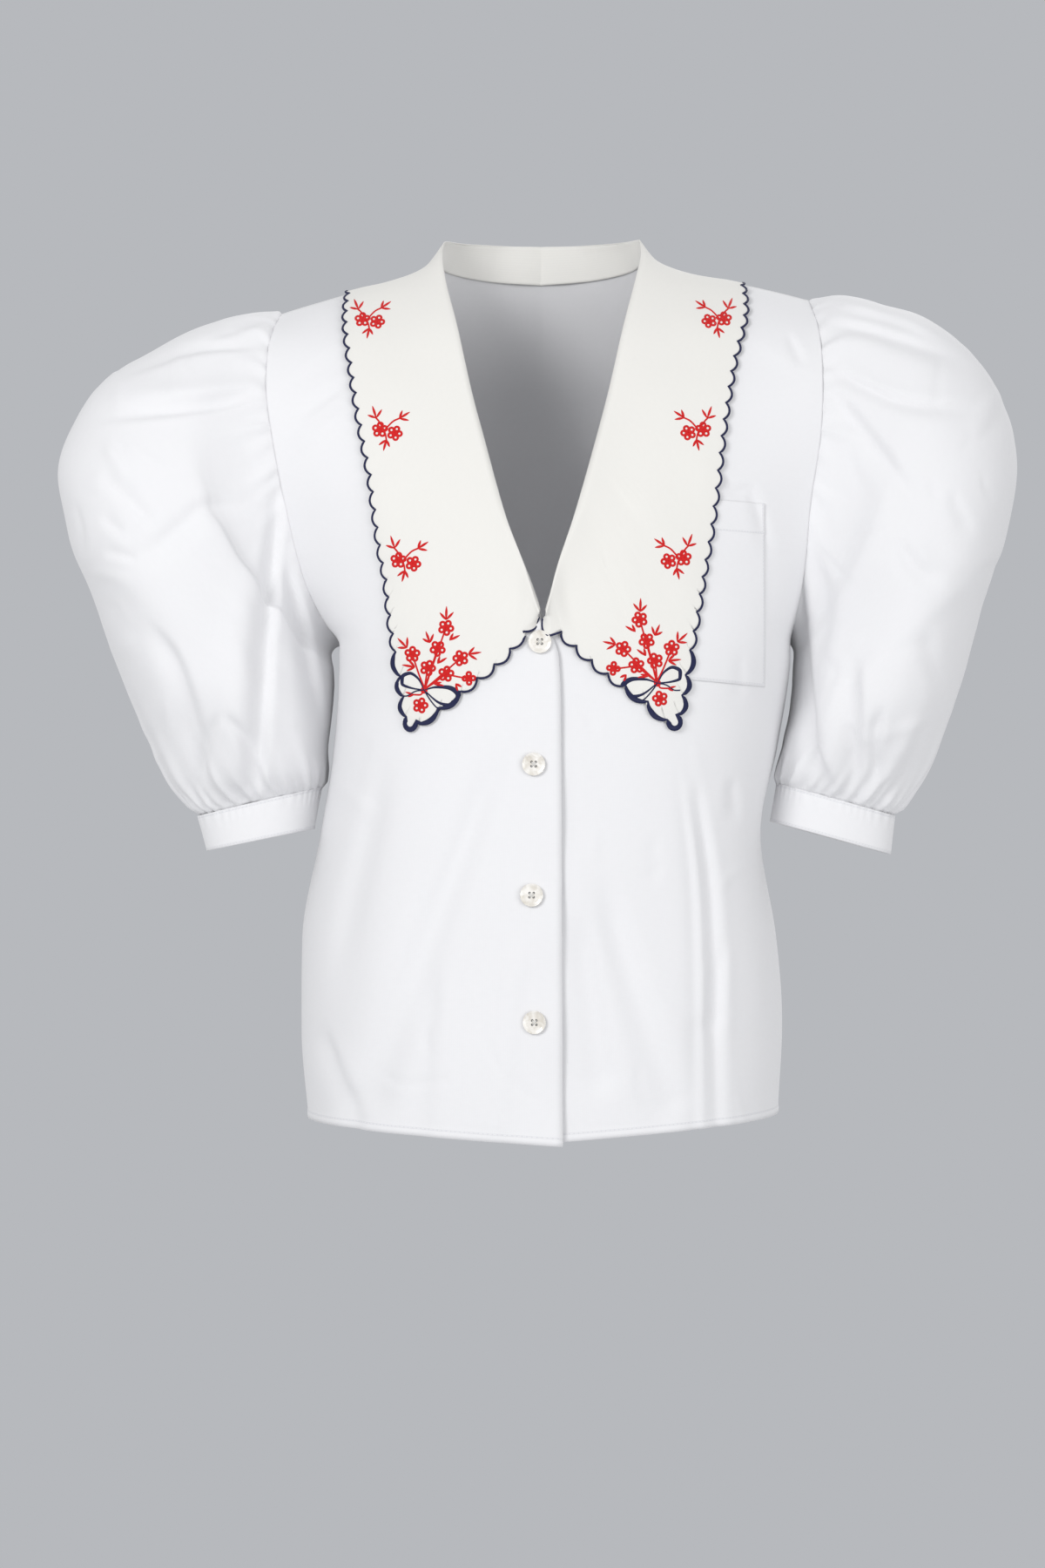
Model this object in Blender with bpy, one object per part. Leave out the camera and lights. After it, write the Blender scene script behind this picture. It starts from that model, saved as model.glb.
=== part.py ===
"""A cotton blouse with a very large scalloped collar and full gathered sleeves, in its worn, hollow form."""

import math

import bmesh
import bpy
import numpy as np
from mathutils import Vector
from mathutils.bvhtree import BVHTree

for old in list(bpy.data.objects):
    bpy.data.objects.remove(old, do_unlink=True)

# Driving dimensions in metres. The origin is the middle of the neck opening, +Z up, the front faces -Y.
MM = 0.001
WALL = 1.2 * MM
COLLAR_WALL = 1.4 * MM
CUFF_WALL = 2.0 * MM
POCKET_WALL = 1.0 * MM
SEAM_STEP = 1.9 * MM
RING_POWER = 2.5
COLLAR_LIFT = 2.7 * MM
POCKET_LIFT = 1.7 * MM
SIDE_LOBES = (9.5, 13.6, 13.6, 16.8)
SIDE_PITCH = 12.2
SIDE_DEPTH = 3.2
FRONT_LOBES = (8.9, 17.8, 18.6)
FRONT_PITCH = 13.6
FRONT_DEPTH = 4.0
BIG_DEPTH = 5.0
NUB_DEPTH = 8.5
BUTTON_RADIUS = 7.7 * MM
BUTTON_HEIGHT = 2.4 * MM
UNDERARM = 0.53

# The front view is judged from this point, so the fold lines below are laid out as they are seen from there.
VIEW_X, VIEW_Z, VIEW_AWAY = -13 * MM, -360 * MM, 2800 * MM

# Outer edge of each front and of the back, hem to shoulder point. Columns: share of height, x, z, front y, back y (mm).
OUTER_RIGHT = [
    (0.00, -159.5, -587, -0.8, 0.8),
    (0.10, -164.5, -527, -0.8, 0.8),
    (0.20, -164.0, -465, -0.8, 0.8),
    (0.30, -151.5, -395, -0.8, 0.8),
    (0.40, -142.0, -335, -0.8, 0.8),
    (0.50, -138.5, -280, -0.8, 0.8),
    (0.53, -138.5, -265, -0.8, 0.8),
    (0.56, -147.0, -251, -22, 26),
    (0.60, -156.5, -233, -38, 45),
    (0.65, -165.0, -208, -48, 57),
    (0.70, -172.0, -178, -54, 63),
    (0.78, -181.0, -132, -57, 67),
    (0.88, -186.5, -86, -51, 62),
    (0.95, -184.5, -54, -30, 38),
    (1.00, -179.0, -36.5, -0.9, 0.9),
]
OUTER_LEFT = [
    (0.00, 162.0, -584, -0.8, 0.8),
    (0.10, 165.0, -525, -0.8, 0.8),
    (0.20, 160.5, -462, -0.8, 0.8),
    (0.30, 149.5, -393, -0.8, 0.8),
    (0.40, 161.5, -336, -0.8, 0.8),
    (0.50, 170.5, -278, -0.8, 0.8),
    (0.53, 171.0, -263, -0.8, 0.8),
    (0.56, 173.5, -247, -24, 28),
    (0.60, 176.0, -231, -39, 46),
    (0.65, 179.0, -205, -48, 57),
    (0.70, 181.5, -173, -54, 63),
    (0.78, 188.5, -124, -57, 67),
    (0.88, 190.0, -78, -51, 62),
    (0.95, 188.0, -46, -30, 38),
    (1.00, 184.0, -27, -0.9, 0.9),
]

# Front edge and neckline of each front. Columns: share of height, x, y, z (mm).
CENTRE_RIGHT = [
    (0.00, 13.5, -134, -598),
    (0.20, 13.0, -132, -470),
    (0.40, 12.5, -129.5, -340),
    (0.50, 11.0, -127, -278),
    (0.55, 0.5, -125, -250),
    (0.62, -13, -119, -219),
    (0.70, -29, -110, -186),
    (0.80, -48, -87, -128),
    (0.88, -58, -67, -84),
    (0.95, -66, -38, -40),
    (0.98, -69, -16, -13),
    (1.00, -70, -0.9, -4),
]
CENTRE_LEFT = [
    (0.00, -11.0, -131, -597),
    (0.20, -11.0, -129, -470),
    (0.40, -11.0, -126.5, -340),
    (0.50, -9.5, -124, -278),
    (0.55, 1.0, -122, -251),
    (0.62, 11, -117, -219),
    (0.70, 26, -109, -186),
    (0.80, 45, -87, -128),
    (0.88, 56, -67, -84),
    (0.95, 64, -38, -38),
    (0.98, 67.5, -16, -10),
    (1.00, 69, -0.9, -1),
]

# Middle of the back, hem to neck. Columns: share of height, y, z (mm).
BACK_MIDDLE = [
    (0.00, 114, -586),
    (0.20, 110, -463),
    (0.40, 106, -336),
    (0.55, 109, -247),
    (0.68, 113, -180),
    (0.78, 111, -135),
    (0.88, 102, -90),
    (0.95, 82, -46),
    (1.00, 64, -8),
]
NECK_RIGHT, NECK_LEFT = (-70 * MM, -4 * MM), (69 * MM, -1 * MM)

# Sleeve rings. Columns: share of length, outer x, outer z, inner x, inner z, front depth, back depth, bow, middle y (mm).
SLEEVE_RIGHT = [
    (0.00, -180, -36, -138.5, -265, 58, 66, 20, 0),
    (0.08, -196, -34, -144.0, -268, 66, 73, 40, 0),
    (0.16, -227, -43, -143.5, -274, 77, 81, 36, 0),
    (0.25, -266, -61.5, -142.5, -282, 84, 87, 20, 0),
    (0.33, -299, -81.5, -142.5, -290, 87, 90, 13, 0),
    (0.41, -320, -108.5, -143, -298, 88, 90, 7, -1),
    (0.50, -332, -150, -143.5, -306, 87, 88, 4, -2),
    (0.58, -324, -190, -144, -313, 85, 84, 2, -4),
    (0.66, -311, -224, -144.5, -320, 82, 80, 0, -6),
    (0.75, -290, -279, -145.5, -328, 76, 74, 0, -8),
    (0.84, -271.5, -322, -147, -338, 64, 62, 0, -11),
    (0.92, -254, -358, -148.5, -350, 48, 46, 0, -14),
    (1.00, -235.5, -381.0, -149.8, -361.0, 30.5, 30.5, 0, -16),
]
SLEEVE_LEFT = [
    (0.00, 185, -26, 171, -263, 58, 66, 12, 0),
    (0.08, 208, -23, 174, -266, 66, 73, 22, 0),
    (0.16, 236, -32, 174.5, -272, 77, 81, 20, 0),
    (0.25, 266, -42, 174, -279, 84, 87, 14, 0),
    (0.33, 295, -63, 173.5, -287, 87, 90, 10, 0),
    (0.41, 317, -97, 173, -294, 88, 90, 7, -1),
    (0.50, 326, -142, 172, -302, 87, 88, 4, -2),
    (0.58, 319, -190, 171, -310, 85, 84, 2, -4),
    (0.66, 305, -228, 169.5, -318, 82, 80, 0, -6),
    (0.75, 289, -288, 167.5, -327, 76, 74, 0, -8),
    (0.84, 275, -326, 166, -337, 64, 62, 0, -11),
    (0.92, 262, -354, 163.5, -348, 48, 46, 0, -14),
    (1.00, 242, -381.0, 160.8, -358.6, 30.5, 30.5, 0, -16),
]

# Cuffs. Columns: outer x, outer z, inner x, inner z, half depth, middle y (mm), for the top edge and the bottom edge.
CUFF_RIGHT = [(-234.5, -381.7, -150.5, -361.8, 29.5, -16), (-228, -405.5, -155.5, -390.5, 27.5, -18)]
CUFF_LEFT = [(241, -381.7, 161.2, -359.4, 29.5, -16), (238, -408, 156.5, -385.5, 28.5, -18)]

# Roll line and neck seam of the collar. Columns: share of the way from the middle of the back, x, y, z (mm).
ROLL_RIGHT = [
    (0.00, 0, 70, 21),
    (0.12, -30, 62, 20.5),
    (0.22, -55, 39, 18.5),
    (0.30, -68, 10, 15.5),
    (0.36, -68.5, -8, 4),
    (0.42, -66, -27, -15),
    (0.50, -57.5, -56, -49),
    (0.60, -46.5, -81, -99),
    (0.68, -38.5, -95, -130),
    (0.80, -23.0, -118.5, -187),
    (0.88, -12.3, -126, -216),
    (0.95, -5, -132, -240),
    (1.00, -2.2, -134, -248),
]
ROLL_LEFT = [
    (0.00, 0, 70, 21),
    (0.12, 30, 62, 20.5),
    (0.22, 55, 39, 19),
    (0.30, 69, 10, 17),
    (0.36, 69, -8, 6),
    (0.42, 65, -27, -13),
    (0.50, 55.5, -56, -49),
    (0.60, 44, -81, -99),
    (0.68, 36, -95, -130),
    (0.80, 20, -118.5, -187),
    (0.88, 10.5, -126, -216),
    (0.95, 4.5, -132, -240),
    (1.00, 2.6, -134, -248),
]
NECK_SEAM_RIGHT = [
    (0.00, 0, 63.5, -5.8),
    (0.12, -38, 53, -4.5),
    (0.22, -62, 29, -2.6),
    (0.30, -69.5, 2, -1.6),
    (0.36, -69, -13, -8),
    (0.42, -65.8, -31.5, -28.5),
    (0.50, -60.3, -53.5, -60.5),
    (0.60, -51.5, -76, -103),
    (0.68, -43.5, -91, -134),
    (0.80, -25.5, -113.5, -187),
    (0.88, -12.5, -122, -215),
    (0.95, -4.5, -128, -238),
    (1.00, -1.8, -130.5, -246.5),
]
NECK_SEAM_LEFT = [
    (0.00, 0, 63.5, -5.8),
    (0.12, 38, 53, -3.8),
    (0.22, 62, 29, -1.0),
    (0.30, 68.5, 2, 1.2),
    (0.36, 68, -13, -5.5),
    (0.42, 63.8, -32, -26.5),
    (0.50, 58, -54, -59.5),
    (0.60, 49, -76, -103),
    (0.68, 41, -91, -134),
    (0.80, 22.5, -113, -187),
    (0.88, 11.5, -121.5, -215),
    (0.95, 4.7, -127.5, -238),
    (1.00, 2.4, -130.5, -246.5),
]

# Outer edge of the collar down to its point, and from the point up to the front. Columns as above.
EDGE_RIGHT = [
    (0.00, 0, 103, -74),
    (0.12, -40, 98, -73),
    (0.22, -78, 84, -68),
    (0.30, -107, 58, -57),
    (0.36, -125, 28, -38),
    (0.42, -131, 0, -21),
    (0.48, -132.5, -31, -43),
    (0.54, -127, -61, -84),
    (0.60, -119.5, -79, -126.5),
    (0.66, -113, -88, -158),
    (0.72, -106, -94, -202.5),
    (0.78, -100, -101, -237),
    (0.84, -96, -106, -274),
    (0.90, -89, -111, -325),
]
EDGE_LEFT = [
    (0.00, 0, 103, -74),
    (0.12, 40, 98, -73),
    (0.22, 78, 84, -66),
    (0.30, 107, 58, -53),
    (0.36, 128, 28, -32),
    (0.42, 136, 0, -15),
    (0.48, 138, -31, -37),
    (0.54, 129, -61, -75),
    (0.60, 121.5, -79, -118),
    (0.66, 116, -87, -155),
    (0.72, 110, -94, -196),
    (0.78, 102, -101, -237),
    (0.84, 96, -106, -270),
    (0.90, 87, -111, -324),
]
HEM_RIGHT = [
    (0.90, -89, -111, -325),
    (0.93, -66, -119, -308.5),
    (0.96, -41.5, -127, -289),
    (0.98, -23, -130, -273),
    (1.00, -8, -132, -254),
]
HEM_LEFT = [
    (0.90, 87, -111, -324),
    (0.93, 68, -119, -305),
    (0.96, 42, -127, -286),
    (0.98, 25, -130, -271),
    (1.00, 8, -132, -255),
]

# Largest folds of the fronts, as seen from the front. Columns: points (x, z) in mm, half width, depth (- is a trough).
FRONT_FOLDS = [
    ([(-24, -322), (-57, -406), (-116, -572)], 17, -7.0),
    ([(-60, -350), (-92, -440), (-150, -560)], 15, 3.5),
    ([(-104, -335), (-128, -430), (-145, -524)], 13, -4.0),
    ([(25, -444), (42, -560), (46, -606)], 12, -4.5),
    ([(40, -413), (61, -491), (89, -577)], 13, -5.0),
    ([(96, -335), (110, -453), (112, -595)], 10, -6.0),
    ([(125, -463), (118, -548), (112, -590)], 12, 3.5),
    ([(-5, -300), (-4, -430), (-22, -590)], 20, 3.0),
]
# Largest folds of the back, seen from behind in the same x. Same columns.
BACK_FOLDS = [
    ([(-10, -260), (-40, -400), (-70, -580)], 16, -6.0),
    ([(40, -290), (58, -420), (52, -585)], 15, -5.5),
    ([(100, -300), (112, -430), (120, -575)], 13, -5.0),
    ([(-95, -290), (-112, -430), (-125, -575)], 13, -5.0),
    ([(5, -330), (2, -450), (-8, -585)], 16, 3.0),
    ([(-90, -150), (-30, -200), (20, -215)], 16, -3.0),
]
# Largest folds of the sleeves, front half then back half. Same columns.
SLEEVE_FRONT_FOLDS = [
    ([(-188, -92), (-228, -104), (-288, -106)], 8, 4.0),
    ([(-188, -98), (-224, -112), (-250, -122)], 9, -5.0),
    ([(-196, -170), (-229, -170), (-252, -190), (-292, -196)], 11, -6.0),
    ([(-277, -243), (-245, -300), (-232, -365)], 12, -6.0),
    ([(-181, -134), (-189, -230), (-194, -325), (-201, -368)], 10, -9.0),
    ([(-166, -238), (-157, -285), (-150, -340)], 8, -5.0),
    ([(-215, -235), (-214, -290), (-222, -350)], 14, 5.0),
    ([(190, -30), (240, -48), (293, -72)], 10, 5.0),
    ([(196, -62), (225, -74), (292, -98)], 9, -5.0),
    ([(198, -84), (257, -165), (263, -176)], 12, -6.0),
    ([(244, -190), (262, -212), (281, -222)], 10, -4.5),
    ([(216, -270), (216, -340), (218, -368)], 11, -7.0),
    ([(236, -303), (230, -340), (233, -365)], 9, -5.0),
    ([(183, -180), (180, -250), (172, -355)], 10, -8.0),
    ([(200, -240), (197, -300), (196, -355)], 12, 5.0),
]
SLEEVE_BACK_FOLDS = [
    ([(-200, -90), (-250, -150), (-290, -180)], 11, -6.0),
    ([(-196, -130), (-215, -220), (-215, -330)], 12, -8.0),
    ([(-290, -200), (-262, -280), (-240, -350)], 12, -6.0),
    ([(-240, -200), (-235, -280), (-226, -350)], 14, 5.0),
    ([(200, -80), (250, -140), (292, -172)], 11, -6.0),
    ([(196, -130), (206, -220), (206, -330)], 12, -8.0),
    ([(285, -200), (262, -280), (240, -350)], 12, -6.0),
    ([(235, -200), (230, -280), (222, -350)], 14, 5.0),
]
GATHERS = 18
SLEEVE_COLUMNS = 54
GATHER_TOP, GATHER_BOTTOM = 3.4 * MM, 2.8 * MM


def smooth(low, high, value):
    """Rises softly from 0 at low to 1 at high."""
    share = np.clip((np.asarray(value, float) - low) / (high - low), 0.0, 1.0)
    return share * share * (3 - 2 * share)


def through(rows, place, scale=MM):
    """A smooth curve through the rows of a table, at each place along its first column."""
    rows = np.asarray(rows, float)
    knots, points = rows[:, 0], rows[:, 1:] * scale
    place = np.clip(np.asarray(place, float), knots[0], knots[-1])
    steps = np.diff(points, axis=0) / np.diff(knots)[:, None]
    slopes = np.gradient(points, knots, axis=0)
    most = 3 * np.minimum(np.abs(steps[:-1]), np.abs(steps[1:]))
    turning = steps[:-1] * steps[1:] <= 0
    slopes[1:-1] = np.where(turning, 0, np.clip(slopes[1:-1], -most, most))
    low = np.clip(np.searchsorted(knots, place, side="right") - 1, 0, len(knots) - 2)
    span = (knots[low + 1] - knots[low])[..., None]
    share = (place - knots[low])[..., None] / span
    start = (2 * share**3 - 3 * share**2 + 1) * points[low]
    start = start + (share**3 - 2 * share**2 + share) * slopes[low] * span
    end = (3 * share**2 - 2 * share**3) * points[low + 1]
    return start + end + (share**3 - share**2) * slopes[low + 1] * span


def seen(points):
    """Where points appear in the front view, as x and z."""
    away = 1 + points[..., 1] / VIEW_AWAY
    return VIEW_X + (points[..., 0] - VIEW_X) / away, VIEW_Z + (points[..., 2] - VIEW_Z) / away


def along_line(x, z, line):
    """Distance from a bent line and the share of the way along it."""
    line = np.asarray(line, float) * MM
    parts = np.linalg.norm(np.diff(line, axis=0), axis=1)
    best = np.full(x.shape, 1e9)
    where = np.zeros(x.shape)
    done = 0.0
    for start, end, length in zip(line[:-1], line[1:], parts):
        way = (end - start) / length
        step = np.clip((x - start[0]) * way[0] + (z - start[1]) * way[1], 0, length)
        gap = np.hypot(x - start[0] - step * way[0], z - start[1] - step * way[1])
        nearer = gap < best
        best = np.where(nearer, gap, best)
        where = np.where(nearer, (done + step) / parts.sum(), where)
        done += length
    return best, where


def folds(x, z, table):
    """Height of all folds of a table at x and z."""
    height = np.zeros(x.shape)
    for line, width, depth in table:
        gap, share = along_line(x, z, line)
        across = np.exp(-((gap / (width * MM)) ** 2)) - 0.3 * np.exp(-((gap / (2.2 * width * MM)) ** 2))
        height += depth * MM * across * smooth(0, 0.3, share) * (1 - 0.5 * smooth(0.8, 1, share))
    return height


def grid_normals(grid, closed=False):
    """Normals of a grid of points, whose columns may close into a ring."""
    if closed:
        across = np.roll(grid, -1, axis=1) - np.roll(grid, 1, axis=1)
    else:
        across = np.gradient(grid, axis=1)
    normal = np.cross(across, np.gradient(grid, axis=0))
    return normal / np.maximum(np.linalg.norm(normal, axis=-1, keepdims=True), 1e-12)


def raised(grid, height, outward, closed=False):
    """Moves a grid along its normals, which point to the side that outward names."""
    normal = grid_normals(grid, closed)
    sign = np.sign((normal * outward).sum())
    return grid + normal * sign * height[..., None]


def grid_faces(rows, columns, closed=False):
    """Triangles of a grid."""
    faces = []
    for row in range(rows - 1):
        for column in range(columns if closed else columns - 1):
            right = (column + 1) % columns
            low, low_right = row * columns + column, row * columns + right
            high, high_right = low + columns, low_right + columns
            if (row + column) % 2:
                faces += [(low, low_right, high_right), (low, high_right, high)]
            else:
                faces += [(low, low_right, high), (low_right, high_right, high)]
    return faces


def material(name, colour, roughness):
    """A plain surface."""
    made = bpy.data.materials.get(name)
    if made is None:
        made = bpy.data.materials.new(name)
        made.use_nodes = True
        shader = made.node_tree.nodes["Principled BSDF"]
        shader.inputs["Base Color"].default_value = (*colour, 1)
        shader.inputs["Roughness"].default_value = roughness
    return made


def thick(name, points, faces, wall, surface):
    """A closed wall of even thickness whose middle is the given sheet."""
    sheet = bpy.data.meshes.new(name)
    sheet.from_pydata([tuple(p) for p in points], [], faces)
    bm = bmesh.new()
    bm.from_mesh(sheet)
    bmesh.ops.recalc_face_normals(bm, faces=bm.faces)
    bm.normal_update()
    bm.verts.ensure_lookup_table()
    normals = [v.normal.copy() for v in bm.verts]
    first = [[v.index for v in f.verts] for f in bm.faces]
    edges = [(e.verts[0].index, e.verts[1].index, e.link_loops[0].vert.index) for e in bm.edges if e.is_boundary]
    bm.free()
    count = len(points)
    middle = [Vector(p) for p in points]
    upper = [p + n * wall / 2 for p, n in zip(middle, normals)]
    lower = [p - n * wall / 2 for p, n in zip(middle, normals)]
    every = list(first) + [[i + count for i in reversed(f)] for f in first]
    for one, two, head in edges:
        tail = two if head == one else one
        every.append([tail, head, head + count, tail + count])
    sheet.clear_geometry()
    sheet.from_pydata([tuple(p) for p in upper + lower], [], every)
    bm = bmesh.new()
    bm.from_mesh(sheet)
    bmesh.ops.recalc_face_normals(bm, faces=bm.faces)
    if bm.calc_volume(signed=True) < 0:
        bmesh.ops.reverse_faces(bm, faces=bm.faces)
    bm.to_mesh(sheet)
    bm.free()
    made = bpy.data.objects.new(name, sheet)
    sheet.materials.append(surface)
    bpy.context.scene.collection.objects.link(made)
    return made


def panel_heights(rows):
    """Shares of height of a panel's rows, closest together where the armhole turns."""
    even = np.linspace(0, 1, rows + 1)
    return np.interp(even, (0, 0.42, 0.55, 1), (0, UNDERARM - 0.09, UNDERARM + 0.01, 1))


def front_grid(outer, centre, columns, rows, over):
    """Middle surface of one front, from its front edge to its side seam and armhole, hem to shoulder."""
    height = panel_heights(rows)[:, None] * np.ones((1, columns + 1))
    across = np.linspace(0, 1, columns + 1)[None, :] * np.ones((rows + 1, 1))
    edge, middle = through(outer, height), through(centre, height)
    turn = across * math.pi / 2
    flat = smooth(0.5, 0.72, height)
    share = (1 - flat) * np.sin(turn) ** (2 / RING_POWER) + flat * across
    bend = (1 - flat) * (1 - np.cos(turn) ** (2 / RING_POWER)) + flat * across**2
    grid = np.empty(height.shape + (3,))
    grid[..., 0] = middle[..., 0] + (edge[..., 0] - middle[..., 0]) * share
    grid[..., 1] = middle[..., 1] + (edge[..., 2] - middle[..., 1]) * bend
    grid[..., 2] = middle[..., 2] + (edge[..., 1] - middle[..., 2]) * share
    x, z = seen(grid)
    height_of_fold = folds(x, z, FRONT_FOLDS) * (1 - 0.85 * smooth(0.8, 1.0, across))
    if over:
        height_of_fold = height_of_fold + 1.6 * MM * (1 - smooth(0.0, 0.12, across)) * smooth(0, 0.3, 0.55 - height)
    return raised(grid, height_of_fold, np.array([0, -1, 0]))


def back_grid(columns, rows):
    """Middle surface of the back, side seam to side seam, hem to shoulder seams and neck."""
    height = panel_heights(rows)[:, None] * np.ones((1, columns + 1))
    across = np.linspace(-1, 1, columns + 1)[None, :] * np.ones((rows + 1, 1))
    right, left = through(OUTER_RIGHT, height), through(OUTER_LEFT, height)
    middle = through(BACK_MIDDLE, height)
    edge = np.where(across[..., None] < 0, right, left)
    turn = np.abs(across) * math.pi / 2
    flat = smooth(0.5, 0.72, height)
    share = (1 - flat) * np.sin(turn) ** (2 / RING_POWER) + flat * np.abs(across)
    power = 2.0 - 0.9 * smooth(0.8, 0.95, height)
    bend = (1 - flat) * (1 - np.cos(turn) ** (2 / RING_POWER)) + flat * share**power
    grid = np.empty(height.shape + (3,))
    grid[..., 0] = edge[..., 0] * share
    grid[..., 1] = middle[..., 0] + (edge[..., 3] - middle[..., 0]) * bend
    grid[..., 2] = middle[..., 1] + (edge[..., 1] - middle[..., 1]) * share
    # The top row runs along one shoulder seam, round the back of the neck and along the other.
    top_x = grid[-1, :, 0]
    neck = np.where(top_x[:, None] < 0, np.array(NECK_RIGHT), np.array(NECK_LEFT))
    inside = np.clip(np.abs(top_x / neck[:, 0]), 0, 1)
    beyond = np.clip((np.abs(top_x) - np.abs(neck[:, 0])) / (np.abs(edge[-1, :, 0]) - np.abs(neck[:, 0])), 0, 1)
    top = grid[-1].copy()
    top[:, 1] = 0.9 * MM + 63 * MM * np.sqrt(np.clip(1 - inside**2.2, 0, 1))
    neck_z = -8 * MM + (neck[:, 1] + 8 * MM) * inside**2
    top[:, 2] = neck_z + (edge[-1, :, 1] - neck_z) * beyond
    weight = smooth(0.90, 1.0, height)[..., None]
    grid = grid * (1 - weight) + top[None] * weight
    x, z = grid[..., 0], grid[..., 2]
    fold = folds(x, z, BACK_FOLDS) * (1 - 0.85 * smooth(0.85, 1.0, np.abs(across)))
    return raised(grid, fold, np.array([0, 1, 0]))


def hole_line(edge, way):
    """Points along a panel's armhole edge, from the shoulder (0) to the underarm (1)."""
    heights = panel_heights(len(edge) - 1)
    wanted = 1 - (1 - UNDERARM) * way
    return np.stack([np.interp(wanted, heights, edge[:, axis]) for axis in range(3)], axis=-1)


def sleeve_grid(front_edge, back_edge, sleeve, columns, rows, side):
    """Middle surface of one sleeve as closed rings, armhole to cuff."""
    length = np.linspace(0, 1, rows + 1)[:, None] * np.ones((1, columns))
    turn = (np.arange(columns) / columns * 2 * math.pi)[None, :] * np.ones((rows + 1, 1))
    ring = through(sleeve, length)
    out = ring[..., 0:2]
    inn = ring[..., 2:4]
    middle = (out + inn) / 2
    reach = (out - inn) / 2
    bow_way = np.stack([reach[..., 1], -reach[..., 0]], axis=-1)
    bow_way = bow_way / np.linalg.norm(bow_way, axis=-1, keepdims=True) * side
    front = np.sin(turn) > 0
    depth = np.where(front, ring[..., 4], ring[..., 5])
    plane = middle + reach * np.cos(turn)[..., None] + bow_way * (ring[..., 6] * np.sin(turn) ** 2)[..., None]
    grid = np.stack([plane[..., 0], ring[..., 7] - depth * np.sin(turn), plane[..., 1]], axis=-1)
    # The first ring follows the armhole.
    way = np.where(turn[0] <= math.pi, turn[0] / math.pi, 2 - turn[0] / math.pi)
    on_front = (turn[0] <= math.pi)[:, None]
    seam = np.where(on_front, hole_line(front_edge, way), hole_line(back_edge, way))
    along = np.roll(seam, -1, axis=0) - np.roll(seam, 1, axis=0)
    along = along / np.linalg.norm(along, axis=-1, keepdims=True)
    aim = np.array([side, 0.0, 0.4]) - along * (along @ np.array([side, 0.0, 0.4]))[:, None]
    seam = seam + aim / np.linalg.norm(aim, axis=-1, keepdims=True) * SEAM_STEP
    weight = smooth(0, 0.14, length)[..., None]
    grid = seam[None] * (1 - weight) + grid * weight
    x, z = seen(grid)
    facing = smooth(0.15, 0.6, np.abs(np.sin(turn)))
    fold = np.where(front, folds(x, z, SLEEVE_FRONT_FOLDS), folds(grid[..., 0], grid[..., 2], SLEEVE_BACK_FOLDS))
    free = smooth(0.0, 0.10, length) * (1 - 0.7 * smooth(0.85, 1.0, length))
    cap = 0.25 + 0.75 * smooth(-0.9, 0.2, np.cos(turn))
    gather = np.cos(turn * GATHERS)
    upper = GATHER_TOP * cap * smooth(0, 0.06, length) * (1 - smooth(0.08, 0.30, length))
    lower = GATHER_BOTTOM * smooth(0.72, 0.93, length) * (1 - 0.55 * smooth(0.93, 1.0, length))
    height = fold * facing * free + gather * (upper + lower)
    away = grid - np.stack([middle[..., 0], ring[..., 7], middle[..., 1]], axis=-1)
    return raised(grid, height, away, closed=True)


def cuff_grid(edges, columns):
    """Middle surface of a cuff as two rings."""
    turn = np.arange(columns) / columns * 2 * math.pi
    rings = []
    for row in edges:
        out_x, out_z, in_x, in_z, depth, middle_y = [value * MM for value in row]
        x = (out_x + in_x) / 2 + (out_x - in_x) / 2 * np.cos(turn)
        z = (out_z + in_z) / 2 + (out_z - in_z) / 2 * np.cos(turn)
        rings.append(np.stack([x, middle_y - depth * np.sin(turn), z], axis=-1))
    return np.array(rings)


def surface_tree(grids):
    """All given grids as one surface for nearest points, with the way out of each face."""
    points, faces = [], []
    for grid in grids:
        start = len(points)
        rows, columns = grid.shape[:2]
        points += [tuple(p) for p in grid.reshape(-1, 3)]
        faces += [tuple(start + i for i in face) for face in grid_faces(rows, columns)]
    return BVHTree.FromPolygons(points, faces)


def outward(normal, place):
    """The normal turned to point away from the middle of the body."""
    middle = Vector((0, 0, min(place.z, -0.15)))
    return normal if normal.dot(place - middle) > 0 else -normal


def laid(tree, point, lift):
    """A point brought to a set height above a surface."""
    place, normal, _, _ = tree.find_nearest(Vector(point))
    return np.array(place + outward(normal, place) * lift)


def collar_rows(side, places, tree):
    """Stand, roll and leaf of one side of the collar, a row of points for each place."""
    roll, seam, edge, hem = (
        (ROLL_RIGHT, NECK_SEAM_RIGHT, EDGE_RIGHT, HEM_RIGHT)
        if side < 0
        else (ROLL_LEFT, NECK_SEAM_LEFT, EDGE_LEFT, HEM_LEFT)
    )
    tip = edge[-1][0]
    roll_line, seam_line = through(roll, places), through(seam, places)
    rim = np.where((places <= tip)[:, None], through(edge, places), through(hem, places))
    columns = []
    for place, at_roll, at_seam, at_rim in zip(places, roll_line, seam_line, rim):
        stand = (at_seam + at_roll) / 2 + np.array([0, 0, 0.6 * MM])
        column = [at_seam, stand, at_roll]
        for share in LEAF_SHARES:
            free = at_roll + (at_rim - at_roll) * share
            rest = laid(tree, free, COLLAR_LIFT)
            # Over the back and the shoulders the leaf spans from the roll to its rim, in front it lies flat.
            flat = float(smooth(0.44, 0.60, place))
            settle = float(smooth(0.3 - 0.3 * flat, 1.0 - 0.55 * flat, share))
            column.append(free * (1 - settle) + rest * settle)
        columns.append(column)
    return np.array(columns)


LEAF_SHARES = (0.12, 0.32, 0.54, 0.77, 1.0)
LOBE_STEPS = 4


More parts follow.
